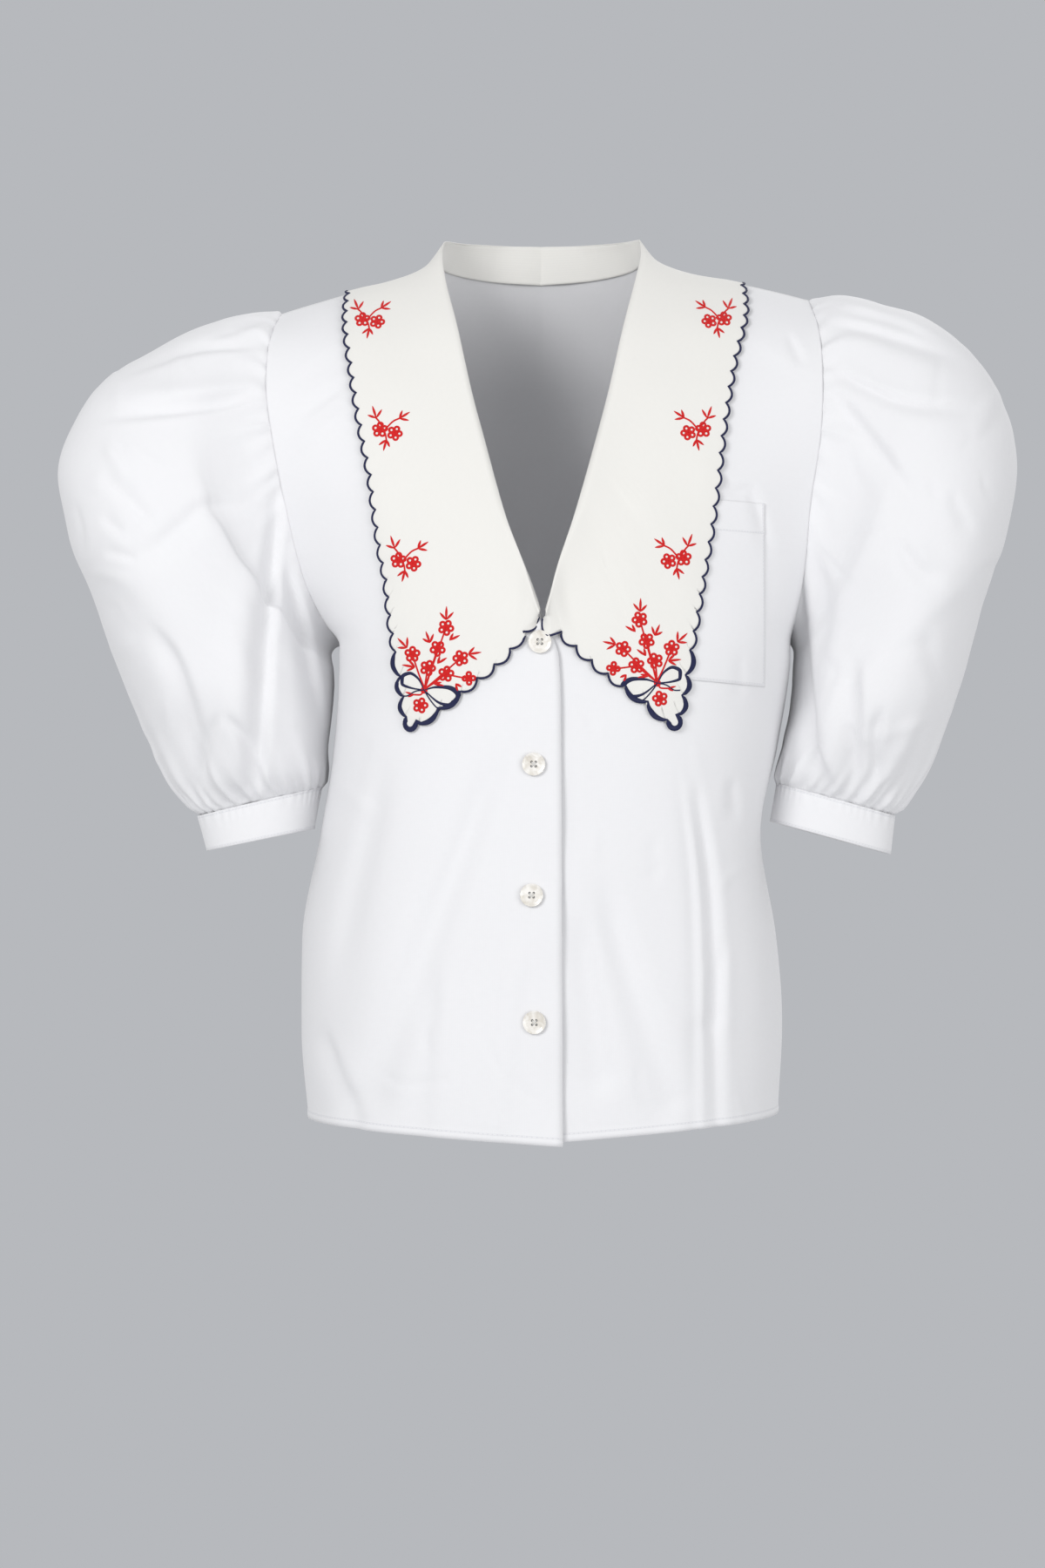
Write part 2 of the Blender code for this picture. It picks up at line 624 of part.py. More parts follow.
def cusps(rows, ends, lobes, pitch):
    """Places of the cusps on one side of the collar's point: the big lobes first, then even ones."""
    fine = np.linspace(*ends, 900)
    steps = np.linalg.norm(np.diff(through(rows, fine, 1), axis=0), axis=1)
    length = np.concatenate([[0], np.cumsum(steps)])
    first = np.cumsum(lobes)
    count = round((length[-1] - first[-1]) / pitch)
    at = np.concatenate([first, np.linspace(first[-1], length[-1], count + 1)[1:]])
    return np.interp(at, length, fine)


def rim_places(side):
    """Places of the scallop cusps from centre back to front end, and the depth of each lobe between them."""
    edge, hem = (EDGE_RIGHT, HEM_RIGHT) if side < 0 else (EDGE_LEFT, HEM_LEFT)
    tip = edge[-1][0]
    along_side = cusps(edge, (tip, 0), SIDE_LOBES, SIDE_PITCH)[::-1]
    along_front = cusps(hem, (tip, 1), FRONT_LOBES, FRONT_PITCH)
    big_side, big_front = len(SIDE_LOBES) - 1, len(FRONT_LOBES) - 1
    depths = [SIDE_DEPTH] * (len(along_side) - 1 - big_side) + [BIG_DEPTH] * big_side + [NUB_DEPTH]
    depths += [BIG_DEPTH] * big_front + [FRONT_DEPTH] * (len(along_front) - 1 - big_front)
    return np.concatenate([along_side, along_front]), np.array(depths) * MM


def build_collar(tree, surface):
    """The whole collar: one wall, from front end to front end, with lobes along its outer edge."""
    (right_places, right_depths), (left_places, left_depths) = rim_places(-1), rim_places(1)
    right_half, left_half = collar_rows(-1, right_places, tree), collar_rows(1, left_places, tree)
    grid = np.concatenate([right_half[::-1], left_half[1:]])
    depths = np.concatenate([right_depths[::-1], left_depths])
    columns, rows = grid.shape[:2]
    points = [tuple(p) for p in grid.reshape(-1, 3)]
    faces = []
    for column in range(columns - 1):
        for row in range(rows - 2):
            a = column * rows + row
            if (row + column) % 2:
                faces += [(a, a + 1, a + rows + 1), (a, a + rows + 1, a + rows)]
            else:
                faces += [(a, a + 1, a + rows), (a + 1, a + rows + 1, a + rows)]
        start, end = column * rows + rows - 1, (column + 1) * rows + rows - 1
        chord = grid[column + 1, -1] - grid[column, -1]
        way = (grid[column, -1] - grid[column, -2]) + (grid[column + 1, -1] - grid[column + 1, -2])
        way = way - chord * way.dot(chord) / chord.dot(chord)
        way = way / np.linalg.norm(way)
        lobe = [start]
        for step in range(1, LOBE_STEPS):
            share = step / LOBE_STEPS
            out = depths[column] * math.sin(math.pi * share) ** 0.8
            points.append(tuple(grid[column, -1] + chord * share + way * out))
            lobe.append(len(points) - 1)
        lobe.append(end)
        half = LOBE_STEPS // 2
        for step in range(LOBE_STEPS):
            inner = start - 1 if step < half else end - 1
            faces.append((inner, lobe[step], lobe[step + 1]))
        faces.append((start - 1, lobe[half], end - 1))
    leaf = [i >= columns * rows or i % rows >= 3 for i in range(len(points))]
    over_leaf = [face for face in faces if all(leaf[corner] for corner in face)]
    points = push_out(points, over_leaf, tree, COLLAR_LIFT, leaf)
    return thick("collar", points, faces, COLLAR_WALL, surface)


def push_out(points, faces, tree, lift, movable, passes=12):
    """Moves a sheet's points outward until no place on its faces is nearer to the surface than lift."""
    points = np.array(points)
    corners = np.array(faces)
    shares = [(1 / 3, 1 / 3, 1 / 3), (0.5, 0.5, 0), (0, 0.5, 0.5), (0.5, 0, 0.5), (1, 0, 0), (0, 1, 0), (0, 0, 1)]
    for _ in range(passes):
        push = np.zeros_like(points)
        most = np.zeros(len(points))
        for share in shares:
            places = sum(points[corners[:, i]] * share[i] for i in range(3))
            for face, place in zip(corners, places):
                spot = Vector(place)
                found, normal, _, _ = tree.find_nearest(spot)
                way = outward(normal, found)
                lack = lift - (spot - found).dot(way)
                if lack > 0:
                    for corner in face:
                        if movable[corner] and lack > most[corner]:
                            most[corner] = lack
                            push[corner] = np.array(way) * lack
        if most.max() < 0.02 * MM:
            break
        points = points + push
    return points


def build_pocket(front, surface):
    """A patch pocket laid on the wearer's left chest."""
    tree = surface_tree([front])
    columns, rows = 6, 6
    points = []
    for row in range(rows + 1):
        for column in range(columns + 1):
            across, up = column / columns, row / rows
            x = (56 + 93 * across) * MM
            z = (-288 - 7 * across + (120 + 3 * across) * up) * MM
            place, normal, _, _ = tree.ray_cast(Vector((x, -1, z)), Vector((0, 1, 0)))
            points.append(np.array(place + outward(normal, place) * POCKET_LIFT))
    faces = grid_faces(rows + 1, columns + 1)
    points = push_out(points, faces, tree, POCKET_LIFT, [True] * len(points))
    made = thick("chest_pocket", points, grid_faces(rows + 1, columns + 1), POCKET_WALL, surface)
    return made, np.array(points).reshape(rows + 1, columns + 1, 3)


def build_button(name, x, z, tree, surface):
    """A round button with a raised rim, standing just off the front."""
    place, normal, _, _ = tree.ray_cast(Vector((x, -1, z)), Vector((0, 1, 0)))
    way = outward(normal, place)
    base = place + way * (WALL / 2 + 0.5 * MM)
    turn = way.to_track_quat("Z", "Y").to_matrix().to_4x4()
    profile = [
        (0.0, 0.0),
        (BUTTON_RADIUS * 0.80, 0.0),
        (BUTTON_RADIUS, BUTTON_HEIGHT * 0.45),
        (BUTTON_RADIUS * 0.90, BUTTON_HEIGHT),
        (BUTTON_RADIUS * 0.66, BUTTON_HEIGHT * 0.70),
        (0.0, BUTTON_HEIGHT * 0.62),
    ]
    steps = 16
    bm = bmesh.new()
    rings = []
    for radius, height in profile:
        if radius == 0:
            rings.append([bm.verts.new(Vector((0, 0, height)))])
        else:
            rings.append([
                bm.verts.new(Vector((radius * math.cos(a), radius * math.sin(a), height)))
                for a in np.arange(steps) * 2 * math.pi / steps
            ])
    for low, high in zip(rings[:-1], rings[1:]):
        for step in range(steps):
            after = (step + 1) % steps
            corners = [low[step % len(low)], low[after % len(low)], high[after % len(high)], high[step % len(high)]]
            bm.faces.new(list(dict.fromkeys(corners)))
    bmesh.ops.recalc_face_normals(bm, faces=bm.faces)
    bm.transform(turn)
    bmesh.ops.translate(bm, verts=bm.verts, vec=base)
    if bm.calc_volume(signed=True) < 0:
        bmesh.ops.reverse_faces(bm, faces=bm.faces)
    mesh = bpy.data.meshes.new(name)
    bm.to_mesh(mesh)
    bm.free()
    mesh.materials.append(surface)
    made = bpy.data.objects.new(name, mesh)
    bpy.context.scene.collection.objects.link(made)
    return made


cotton = (0.86, 0.87, 0.88)
front_right = front_grid(OUTER_RIGHT, CENTRE_RIGHT, 12, 22, over=True)
front_left = front_grid(OUTER_LEFT, CENTRE_LEFT, 12, 22, over=False)
back = back_grid(20, 22)
for name, grid in (("front_right", front_right), ("front_left", front_left), ("back", back)):
    rows, columns = grid.shape[:2]
    thick(name, grid.reshape(-1, 3), grid_faces(rows, columns), WALL, material(name + "_cotton", cotton, 0.85))

sleeve_right = sleeve_grid(front_right[:, -1], back[:, 0], SLEEVE_RIGHT, SLEEVE_COLUMNS, 12, -1)
sleeve_left = sleeve_grid(front_left[:, -1], back[:, -1], SLEEVE_LEFT, SLEEVE_COLUMNS, 12, 1)
for name, grid in (("sleeve_right", sleeve_right), ("sleeve_left", sleeve_left)):
    rows, columns = grid.shape[:2]
    faces = grid_faces(rows, columns, closed=True)
    thick(name, grid.reshape(-1, 3), faces, WALL, material(name + "_cotton", cotton, 0.85))

for name, edges in (("cuff_right", CUFF_RIGHT), ("cuff_left", CUFF_LEFT)):
    grid = cuff_grid(edges, 36)
    faces = grid_faces(2, 36, closed=True)
    thick(name, grid.reshape(-1, 3), faces, CUFF_WALL, material(name + "_cotton", cotton, 0.85))

pocket, pocket_grid = build_pocket(front_left, material("chest_pocket_cotton", cotton, 0.85))
body_tree = surface_tree([front_right, front_left, back, pocket_grid])
build_collar(body_tree, material("collar_cotton", (0.85, 0.83, 0.78), 0.8))

front_tree = surface_tree([front_right])
for number, (x, z) in enumerate(((-1.5, -266.5), (-5.6, -347.0), (-6.8, -433.0), (-5.0, -516.5)), start=1):
    name = f"button_{number}"
    build_button(name, x * MM, z * MM, front_tree, material(name + "_pearl", (0.88, 0.86, 0.80), 0.3))
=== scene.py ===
import math
import random

import bmesh
import bpy
import numpy as np
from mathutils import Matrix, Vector
from mathutils.bvhtree import BVHTree


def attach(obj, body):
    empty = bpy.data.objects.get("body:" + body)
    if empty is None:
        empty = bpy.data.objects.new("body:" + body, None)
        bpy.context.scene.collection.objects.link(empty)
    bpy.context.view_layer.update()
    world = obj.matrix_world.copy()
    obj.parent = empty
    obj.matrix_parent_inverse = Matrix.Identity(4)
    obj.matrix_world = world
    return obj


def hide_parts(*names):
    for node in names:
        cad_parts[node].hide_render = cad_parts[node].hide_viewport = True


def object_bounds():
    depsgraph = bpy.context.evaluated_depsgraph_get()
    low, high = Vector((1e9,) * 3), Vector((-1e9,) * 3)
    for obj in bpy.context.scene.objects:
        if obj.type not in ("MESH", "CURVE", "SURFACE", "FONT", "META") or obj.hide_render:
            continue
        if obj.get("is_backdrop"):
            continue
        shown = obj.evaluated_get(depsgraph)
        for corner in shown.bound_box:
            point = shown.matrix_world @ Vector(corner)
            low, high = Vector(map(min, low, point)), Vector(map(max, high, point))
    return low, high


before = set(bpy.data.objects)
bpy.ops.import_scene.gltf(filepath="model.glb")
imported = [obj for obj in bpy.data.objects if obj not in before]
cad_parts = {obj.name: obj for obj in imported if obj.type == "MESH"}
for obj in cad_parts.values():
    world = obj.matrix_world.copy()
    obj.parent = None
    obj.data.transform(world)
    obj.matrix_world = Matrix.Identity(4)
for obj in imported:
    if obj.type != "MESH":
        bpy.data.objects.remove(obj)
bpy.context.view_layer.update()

mm = 0.001
# Where the photo was taken from: the camera's x and z, and its distance in front of the side seams
viewX, viewZ, viewAway = -13 * mm, -360 * mm, 2800 * mm


# Curves and surfaces for all the pieces
def unit(vectors):
    return vectors / np.maximum(np.linalg.norm(vectors, axis=-1, keepdims=True), 1e-12)


def smooth(low, high, value):
    share = np.clip((np.asarray(value, float) - low) / (high - low), 0.0, 1.0)
    return share * share * (3 - 2 * share)


def through(rows, place, scale=mm):
    # A smooth curve through a table's rows, with no overshoot.
    rows = np.asarray(rows, float)
    knots, points = rows[:, 0], rows[:, 1:] * scale
    place = np.clip(np.asarray(place, float), knots[0], knots[-1])
    steps = np.diff(points, axis=0) / np.diff(knots)[:, None]
    slopes = np.gradient(points, knots, axis=0)
    most = 3 * np.minimum(np.abs(steps[:-1]), np.abs(steps[1:]))
    turning = steps[:-1] * steps[1:] <= 0
    slopes[1:-1] = np.where(turning, 0, np.clip(slopes[1:-1], -most, most))
    low = np.clip(np.searchsorted(knots, place, side="right") - 1, 0, len(knots) - 2)
    span = (knots[low + 1] - knots[low])[..., None]
    share = (place - knots[low])[..., None] / span
    start = (2 * share**3 - 3 * share**2 + 1) * points[low]
    start = start + (share**3 - 2 * share**2 + share) * slopes[low] * span
    end = (3 * share**2 - 2 * share**3) * points[low + 1]
    return start + end + (share**3 - share**2) * slopes[low + 1] * span


def curveThrough(points, count):
    rows = [(index, *point) for index, point in enumerate(points)]
    return through(rows, np.linspace(0, len(points) - 1, count), 1.0)


def seen(points):
    # Where points stand in the photo, moved to the depth of the side seams.
    away = 1 + points[..., 1] / viewAway
    return viewX + (points[..., 0] - viewX) / away, viewZ + (points[..., 2] - viewZ) / away


def creased(x, z, table, edgeLow):
    # Each crease is a soft ridge or trough, steeper on one side. It fades at its ends, but for one at an edge
    # of the cloth.
    height = np.zeros(x.shape)
    for line, leftWidth, rightWidth, rise in table:
        kept = 0.8 if line[-1][1] < edgeLow else 0.0
        if len(line) > 2:
            line = curveThrough(line, 4 * len(line))
        line = np.asarray(line, float) * mm
        lengths = np.linalg.norm(np.diff(line, axis=0), axis=1)
        best, side, where, done = np.full(x.shape, 1e9), np.zeros(x.shape), np.zeros(x.shape), 0.0
        for start, end, length in zip(line[:-1], line[1:], lengths):
            way = (end - start) / length
            step = np.clip((x - start[0]) * way[0] + (z - start[1]) * way[1], 0, length)
            offX, offZ = x - start[0] - step * way[0], z - start[1] - step * way[1]
            gap = np.hypot(offX, offZ)
            nearer = gap < best
            best = np.where(nearer, gap, best)
            side = np.where(nearer, way[0] * offZ - way[1] * offX, side)
            where = np.where(nearer, (done + step) / lengths.sum(), where)
            done += length
        grow = (0.75 + 0.5 * where) * mm
        # The change of side is softened so that the line itself stays smooth.
        turn = smooth(-0.25, 0.25, side / (np.abs(side) + best + 1e-9) * 0.5)
        width = (leftWidth * turn + rightWidth * (1 - turn)) * grow
        form = np.exp(-((best / width) ** 2)) - 0.28 * np.exp(-((best / (2.3 * width)) ** 2))
        height += rise * mm * form * smooth(0, 0.3, where) * (1 - (1 - kept) * smooth(0.6, 1, where))
    return height


def straySmall(seed, count, box, slope, lengths, width, rise):
    # Small uneven creases, a slope for their usual direction and its spread.
    dice = random.Random(seed)
    table = []
    for _ in range(count):
        x, z = dice.uniform(box[0], box[1]), dice.uniform(box[2], box[3])
        turn = math.radians(dice.gauss(slope[0], slope[1]))
        length = dice.uniform(*lengths)
        bend = dice.uniform(-0.12, 0.12) * length
        dx, dz = math.sin(turn) * length, -math.cos(turn) * length
        mid = (x + dx / 2 + dz / length * bend, z + dz / 2 - dx / length * bend)
        wide = dice.uniform(*width)
        table.append(([(x, z), mid, (x + dx, z + dz)], wide, wide * dice.uniform(0.7, 1.6),
                      dice.choice((-1, -1, 1)) * dice.uniform(*rise)))
    return table


def swell(x, z, seed, length, rise):
    # A broad soft unevenness made of a few slanted waves.
    dice = random.Random(seed)
    total = np.zeros(x.shape)
    for _ in range(6):
        turn = dice.uniform(0, math.pi)
        size = length * mm * dice.uniform(0.7, 1.5)
        start = dice.uniform(0, 6.28)
        total += np.sin((x * math.cos(turn) + z * math.sin(turn)) / size * 2 * math.pi + start)
    return total / 6 * rise * mm


def gridNormals(grid, closed=False):
    across = np.roll(grid, -1, axis=1) - np.roll(grid, 1, axis=1) if closed else np.gradient(grid, axis=1)
    return unit(np.cross(across, np.gradient(grid, axis=0)))


def outNormals(grid, outward, closed=False):
    normal = gridNormals(grid, closed)
    return normal * np.sign((normal * outward).sum())


def gridFaces(rows, columns, closed=False):
    wide = columns if closed else columns - 1
    row, column = np.meshgrid(np.arange(rows - 1), np.arange(wide), indexing="ij")
    right = (column + 1) % columns
    low, high = row * columns, (row + 1) * columns
    corners = [low + column, low + right, high + right, high + column]
    return np.stack([corner.ravel() for corner in corners], axis=1)


def meshFrom(name, points, faces, uv=None):
    mesh = bpy.data.meshes.new(name)
    count = len(faces)
    size = faces.shape[1]
    mesh.vertices.add(len(points))
    mesh.vertices.foreach_set("co", np.asarray(points, np.float32).ravel())
    mesh.loops.add(count * size)
    mesh.loops.foreach_set("vertex_index", faces.astype(np.int32).ravel())
    mesh.polygons.add(count)
    mesh.polygons.foreach_set("loop_start", np.arange(count, dtype=np.int32) * size)
    mesh.polygons.foreach_set("loop_total", np.full(count, size, np.int32))
    mesh.polygons.foreach_set("use_smooth", np.ones(count, bool))
    if uv is not None:
        layer = mesh.uv_layers.new(name="cloth")
        layer.data.foreach_set("uv", uv[faces.ravel()].astype(np.float32).ravel())
    mesh.update(calc_edges=True)
    mesh.validate()
    made = bpy.data.objects.new(name, mesh)
    bpy.context.scene.collection.objects.link(made)
    return made


def flatLengths(grid):
    # Distances along the cloth from the first column and the first row, in mm.
    across = np.linalg.norm(np.diff(grid, axis=1), axis=-1).mean(axis=0)
    down = np.linalg.norm(np.diff(grid, axis=0), axis=-1).mean(axis=1)
    u = np.concatenate([[0], np.cumsum(across)]) / mm
    v = np.concatenate([[0], np.cumsum(down)]) / mm
    return np.stack([u[None, :] * np.ones((len(v), 1)), v[:, None] * np.ones((1, len(u)))], axis=-1)


def clothArea(grid, closed=False):
    last = np.concatenate([grid, grid[:, :1]], axis=1) if closed else grid
    a, b = last[1:, :-1] - last[:-1, :-1], last[:-1, 1:] - last[:-1, :-1]
    return float(np.linalg.norm(np.cross(a, b), axis=-1).sum())


def clothShell(name, grid, wall, outward, closed=False, thicker=None):
    # A thin closed wall whose middle is the grid. thicker adds to the wall's outer face only.
    normal = outNormals(grid, outward, closed)
    rows, columns = grid.shape[:2]
    half = np.full(grid.shape[:2], wall / 2 * mm)
    above = half + (0 if thicker is None else thicker * mm)
    upper, lower = grid + normal * above[..., None], grid - normal * half[..., None]
    points = np.concatenate([upper.reshape(-1, 3), lower.reshape(-1, 3)])
    uv = flatLengths(grid).reshape(-1, 2)
    uv = np.concatenate([uv, uv]) / 1000
    top = gridFaces(rows, columns, closed)
    facing = np.cross(points[top[0, 1]] - points[top[0, 0]], points[top[0, 3]] - points[top[0, 0]])
    if facing @ normal.reshape(-1, 3)[top[0, 0]] < 0:
        top = top[:, ::-1]
    count = rows * columns
    faces = [top, top[:, ::-1] + count]
    edges = np.concatenate([top[:, [0, 1]], top[:, [1, 2]], top[:, [2, 3]], top[:, [3, 0]]])
    key = np.sort(edges, axis=1)
    code = key[:, 0].astype(np.int64) * (count + 1) + key[:, 1]
    _, first, times = np.unique(code, return_index=True, return_counts=True)
    rim = edges[first[times == 1]]
    faces.append(np.stack([rim[:, 1], rim[:, 0], rim[:, 0] + count, rim[:, 1] + count], axis=1))
    return meshFrom(name, points, np.concatenate(faces), uv)


def setAttribute(piece, name, values):
    # One number for each point, the same on a shell's two faces.
    layer = piece.data.attributes.new(name, "FLOAT", "POINT")
    flat = np.asarray(values, np.float32).ravel()
    layer.data.foreach_set("value", np.concatenate([flat, flat])[: len(piece.data.vertices)])


def stitched(piece, gap, run):
    # How far each point is from a row of stitches, and how far along it, in mm.
    setAttribute(piece, "stitchGap", gap)
    setAttribute(piece, "stitchRun", run)


def unstitched(piece, grid):
    stitched(piece, np.full(grid.shape[:2], 9.0), np.zeros(grid.shape[:2]))


def surfaceTree(grids):
    points, faces = [], []
    start = 0
    for grid in grids:
        rows, columns = grid.shape[:2]
        points.append(grid.reshape(-1, 3))
        faces.append(gridFaces(rows, columns) + start)
        start += rows * columns
    return BVHTree.FromPolygons(np.concatenate(points).tolist(), np.concatenate(faces).tolist())


def outward(normal, place):
    middle = Vector((0, 0, min(place.z, -0.15)))
    return normal if normal.dot(place - middle) > 0 else -normal


# Cloth, thread and pearl shell. Colours are linear.
clothLook = {
    "white": (0.81, 0.81, 0.825),
    "cream": (0.80, 0.79, 0.755),
    "roughness": 0.86,
    "sheen": 0.25,
    "warp": 400.0,
    "weft": 380.0,
    "slub": 260.0,
    # The groove beside each row of stitches is painted darker as shade, this wide on each side.
    "paintedGrooveShade": (0.87, 0.875, 0.89, 1),
    "stitchWidth": 0.26,
    "shadedGrooveWidth": 0.55,
    "stitchesPerMm": 0.42,
}
threadLook = {
    "navy": (0.018, 0.023, 0.085),
    "red": (0.82, 0.012, 0.012),
    "white": (0.78, 0.77, 0.74),
    "roughness": 0.5,
    "specular": 0.3,
    "shadow": 0.72,
}
pearlLook = {"dark": (0.66, 0.62, 0.55, 1), "light": (0.90, 0.88, 0.84, 1), "roughness": 0.22, "coat": 0.6}


def node(tree, kind, **values):
    made = tree.nodes.new(kind)
    for key, value in values.items():
        if key in made.inputs:
            made.inputs[key].default_value = value
        else:
            setattr(made, key, value)
    return made


def math2(tree, operation, first, second):
    made = node(tree, "ShaderNodeMath", operation=operation)
    for socket, value in zip(made.inputs, (first, second)):
        if isinstance(value, (int, float)):
            socket.default_value = value
        else:
            tree.links.new(value, socket)
    return made.outputs[0]


def newMaterial(name, **values):
    made = bpy.data.materials.new(name)
    made.use_nodes = True
    shader = made.node_tree.nodes["Principled BSDF"]
    for key, value in values.items():
        shader.inputs[key.replace("_", " ")].default_value = value
    return made, made.node_tree, shader


def clothMaterial(name, colour):
    made, tree, shader = newMaterial(name, Roughness=clothLook["roughness"], Sheen_Roughness=0.5)
    shader.inputs["Sheen Weight"].default_value = clothLook["sheen"]
    link = tree.links.new
    uv = node(tree, "ShaderNodeUVMap", uv_map="cloth")
    # Threads across and along, 0.4 mm apart, over a softer unevenness of the yarn.
    warp = node(tree, "ShaderNodeTexWave", bands_direction="X", Scale=clothLook["warp"], Distortion=0.6)
    weft = node(tree, "ShaderNodeTexWave", bands_direction="Y", Scale=clothLook["weft"], Distortion=0.6)
    slub = node(tree, "ShaderNodeTexNoise", Scale=clothLook["slub"], Detail=3.0, Roughness=0.6)
    for texture in (warp, weft, slub):
        link(uv.outputs["UV"], texture.inputs["Vector"])
    weave = math2(tree, "MULTIPLY", warp.outputs["Fac"], weft.outputs["Fac"])
    weave = math2(tree, "ADD", weave, slub.outputs["Fac"])
    tint = node(tree, "ShaderNodeMapRange")
    for key, value in (("From Min", 0.3), ("From Max", 1.5), ("To Min", 0.965), ("To Max", 1.0)):
        tint.inputs[key].default_value = value
    link(weave, tint.inputs["Value"])
    shade = node(tree, "ShaderNodeMix", data_type="RGBA", blend_type="MULTIPLY")
    shade.inputs["Factor"].default_value = 1.0
    shade.inputs["A"].default_value = (*colour, 1)
    link(tint.outputs["Result"], shade.inputs["B"])
    # Dashes of thread along each row of stitches, with painted shade in the groove on each side of them.
    gap = node(tree, "ShaderNodeAttribute", attribute_name="stitchGap")
    run = node(tree, "ShaderNodeAttribute", attribute_name="stitchRun")
    away = math2(tree, "ABSOLUTE", gap.outputs["Fac"], 0)
    count = math2(tree, "MULTIPLY", run.outputs["Fac"], clothLook["stitchesPerMm"])
    dash = math2(tree, "LESS_THAN", math2(tree, "FRACT", count, 0), 0.7)
    thread = math2(tree, "MULTIPLY", math2(tree, "LESS_THAN", away, clothLook["stitchWidth"]), dash)
    # Painted shade: the cloth within the groove's width beside the thread is darkened.
    pucker = math2(tree, "LESS_THAN", away, clothLook["shadedGrooveWidth"])
    dark = node(tree, "ShaderNodeMix", data_type="RGBA", blend_type="MULTIPLY")
    dark.inputs["B"].default_value = clothLook["paintedGrooveShade"]
    link(math2(tree, "SUBTRACT", pucker, thread), dark.inputs["Factor"])
    link(shade.outputs["Result"], dark.inputs["A"])
    link(dark.outputs["Result"], shader.inputs["Base Color"])
    height = math2(tree, "ADD", math2(tree, "MULTIPLY", weave, 0.03), math2(tree, "MULTIPLY", thread, 0.5))
    bump = node(tree, "ShaderNodeBump", Strength=0.35, Distance=0.0004)
    link(height, bump.inputs["Height"])
    link(bump.outputs["Normal"], shader.inputs["Normal"])
    return made


def threadMaterial(name, colour):
    made, tree, shader = newMaterial(name, Roughness=threadLook["roughness"])
    shader.inputs["Specular IOR Level"].default_value = threadLook["specular"]
    run = node(tree, "ShaderNodeAttribute", attribute_name="stitchRun")
    floss = math2(tree, "SINE", math2(tree, "MULTIPLY", run.outputs["Fac"], 14.0), 0)
    place = node(tree, "ShaderNodeTexCoord")
    patchy = node(tree, "ShaderNodeTexNoise", Scale=900.0, Detail=2.0)
    tree.links.new(place.outputs["Object"], patchy.inputs["Vector"])
    shade = node(tree, "ShaderNodeMix", data_type="RGBA", blend_type="MIX")
    shade.inputs["A"].default_value = (*colour, 1)
    shade.inputs["B"].default_value = (*[value * threadLook["shadow"] for value in colour], 1)
    tree.links.new(patchy.outputs["Fac"], shade.inputs["Factor"])
    tree.links.new(shade.outputs["Result"], shader.inputs["Base Color"])
    bump = node(tree, "ShaderNodeBump", Strength=0.5, Distance=0.0003)
    tree.links.new(floss, bump.inputs["Height"])
    tree.links.new(bump.outputs["Normal"], shader.inputs["Normal"])
    return made


def pearlMaterial():
    made, tree, shader = newMaterial("pearlShell", Roughness=pearlLook["roughness"], Coat_Roughness=0.08)
    shader.inputs["Coat Weight"].default_value = pearlLook["coat"]
    place = node(tree, "ShaderNodeTexCoord")
    cloud = node(tree, "ShaderNodeTexNoise", Scale=160.0, Detail=3.0, Distortion=1.2)
    ramp = node(tree, "ShaderNodeValToRGB")
    ends = ramp.color_ramp.elements
    ends[0].color, ends[0].position = pearlLook["dark"], 0.3
    ends[1].color, ends[1].position = pearlLook["light"], 0.65
    tree.links.new(place.outputs["Object"], cloud.inputs["Vector"])
    tree.links.new(cloud.outputs["Fac"], ramp.inputs["Fac"])
    tree.links.new(ramp.outputs["Color"], shader.inputs["Base Color"])
    return made


def finished(piece, material, solid=None):
    piece.data.materials.clear()
    piece.data.materials.append(material)
    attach(piece, "root")
    if solid:
        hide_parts(solid)


cotton = clothMaterial("whiteCotton", clothLook["white"])
collarCotton = clothMaterial("creamCotton", clothLook["cream"])
navyThread = threadMaterial("navyThread", threadLook["navy"])
redThread = threadMaterial("redThread", threadLook["red"])
whiteThread = threadMaterial("whiteThread", threadLook["white"])
pearl = pearlMaterial()
print("materials made")

# Fronts and back. Lengths in mm. A stray table holds the small creases that a seeded rule places.
panelSet = {
    "wall": 0.5,
    "columns": 120,
    "rows": 200,
    "hem": 5.0,
    "hemExtra": 0.5,
    "facing": 30,
    "roundness": 2.5,
    "lapRise": 1.2,
    "underRise": 0.7,
    "stray": (5, 46, (-165, 165, -570, -60), (4, 28), (18, 70), (2.5, 6), (0.25, 0.9)),
}
backSet = {
    "columns": 150,
    "rows": 150,
    "neckDepth": 63.6,
    "neckZ": -8,
    "neckRight": (-70, -4),
    "neckLeft": (69, -1),
    "stray": (9, 40, (-160, 160, -570, -110), (0, 26), (18, 80), (2.5, 6), (0.25, 0.9)),
}
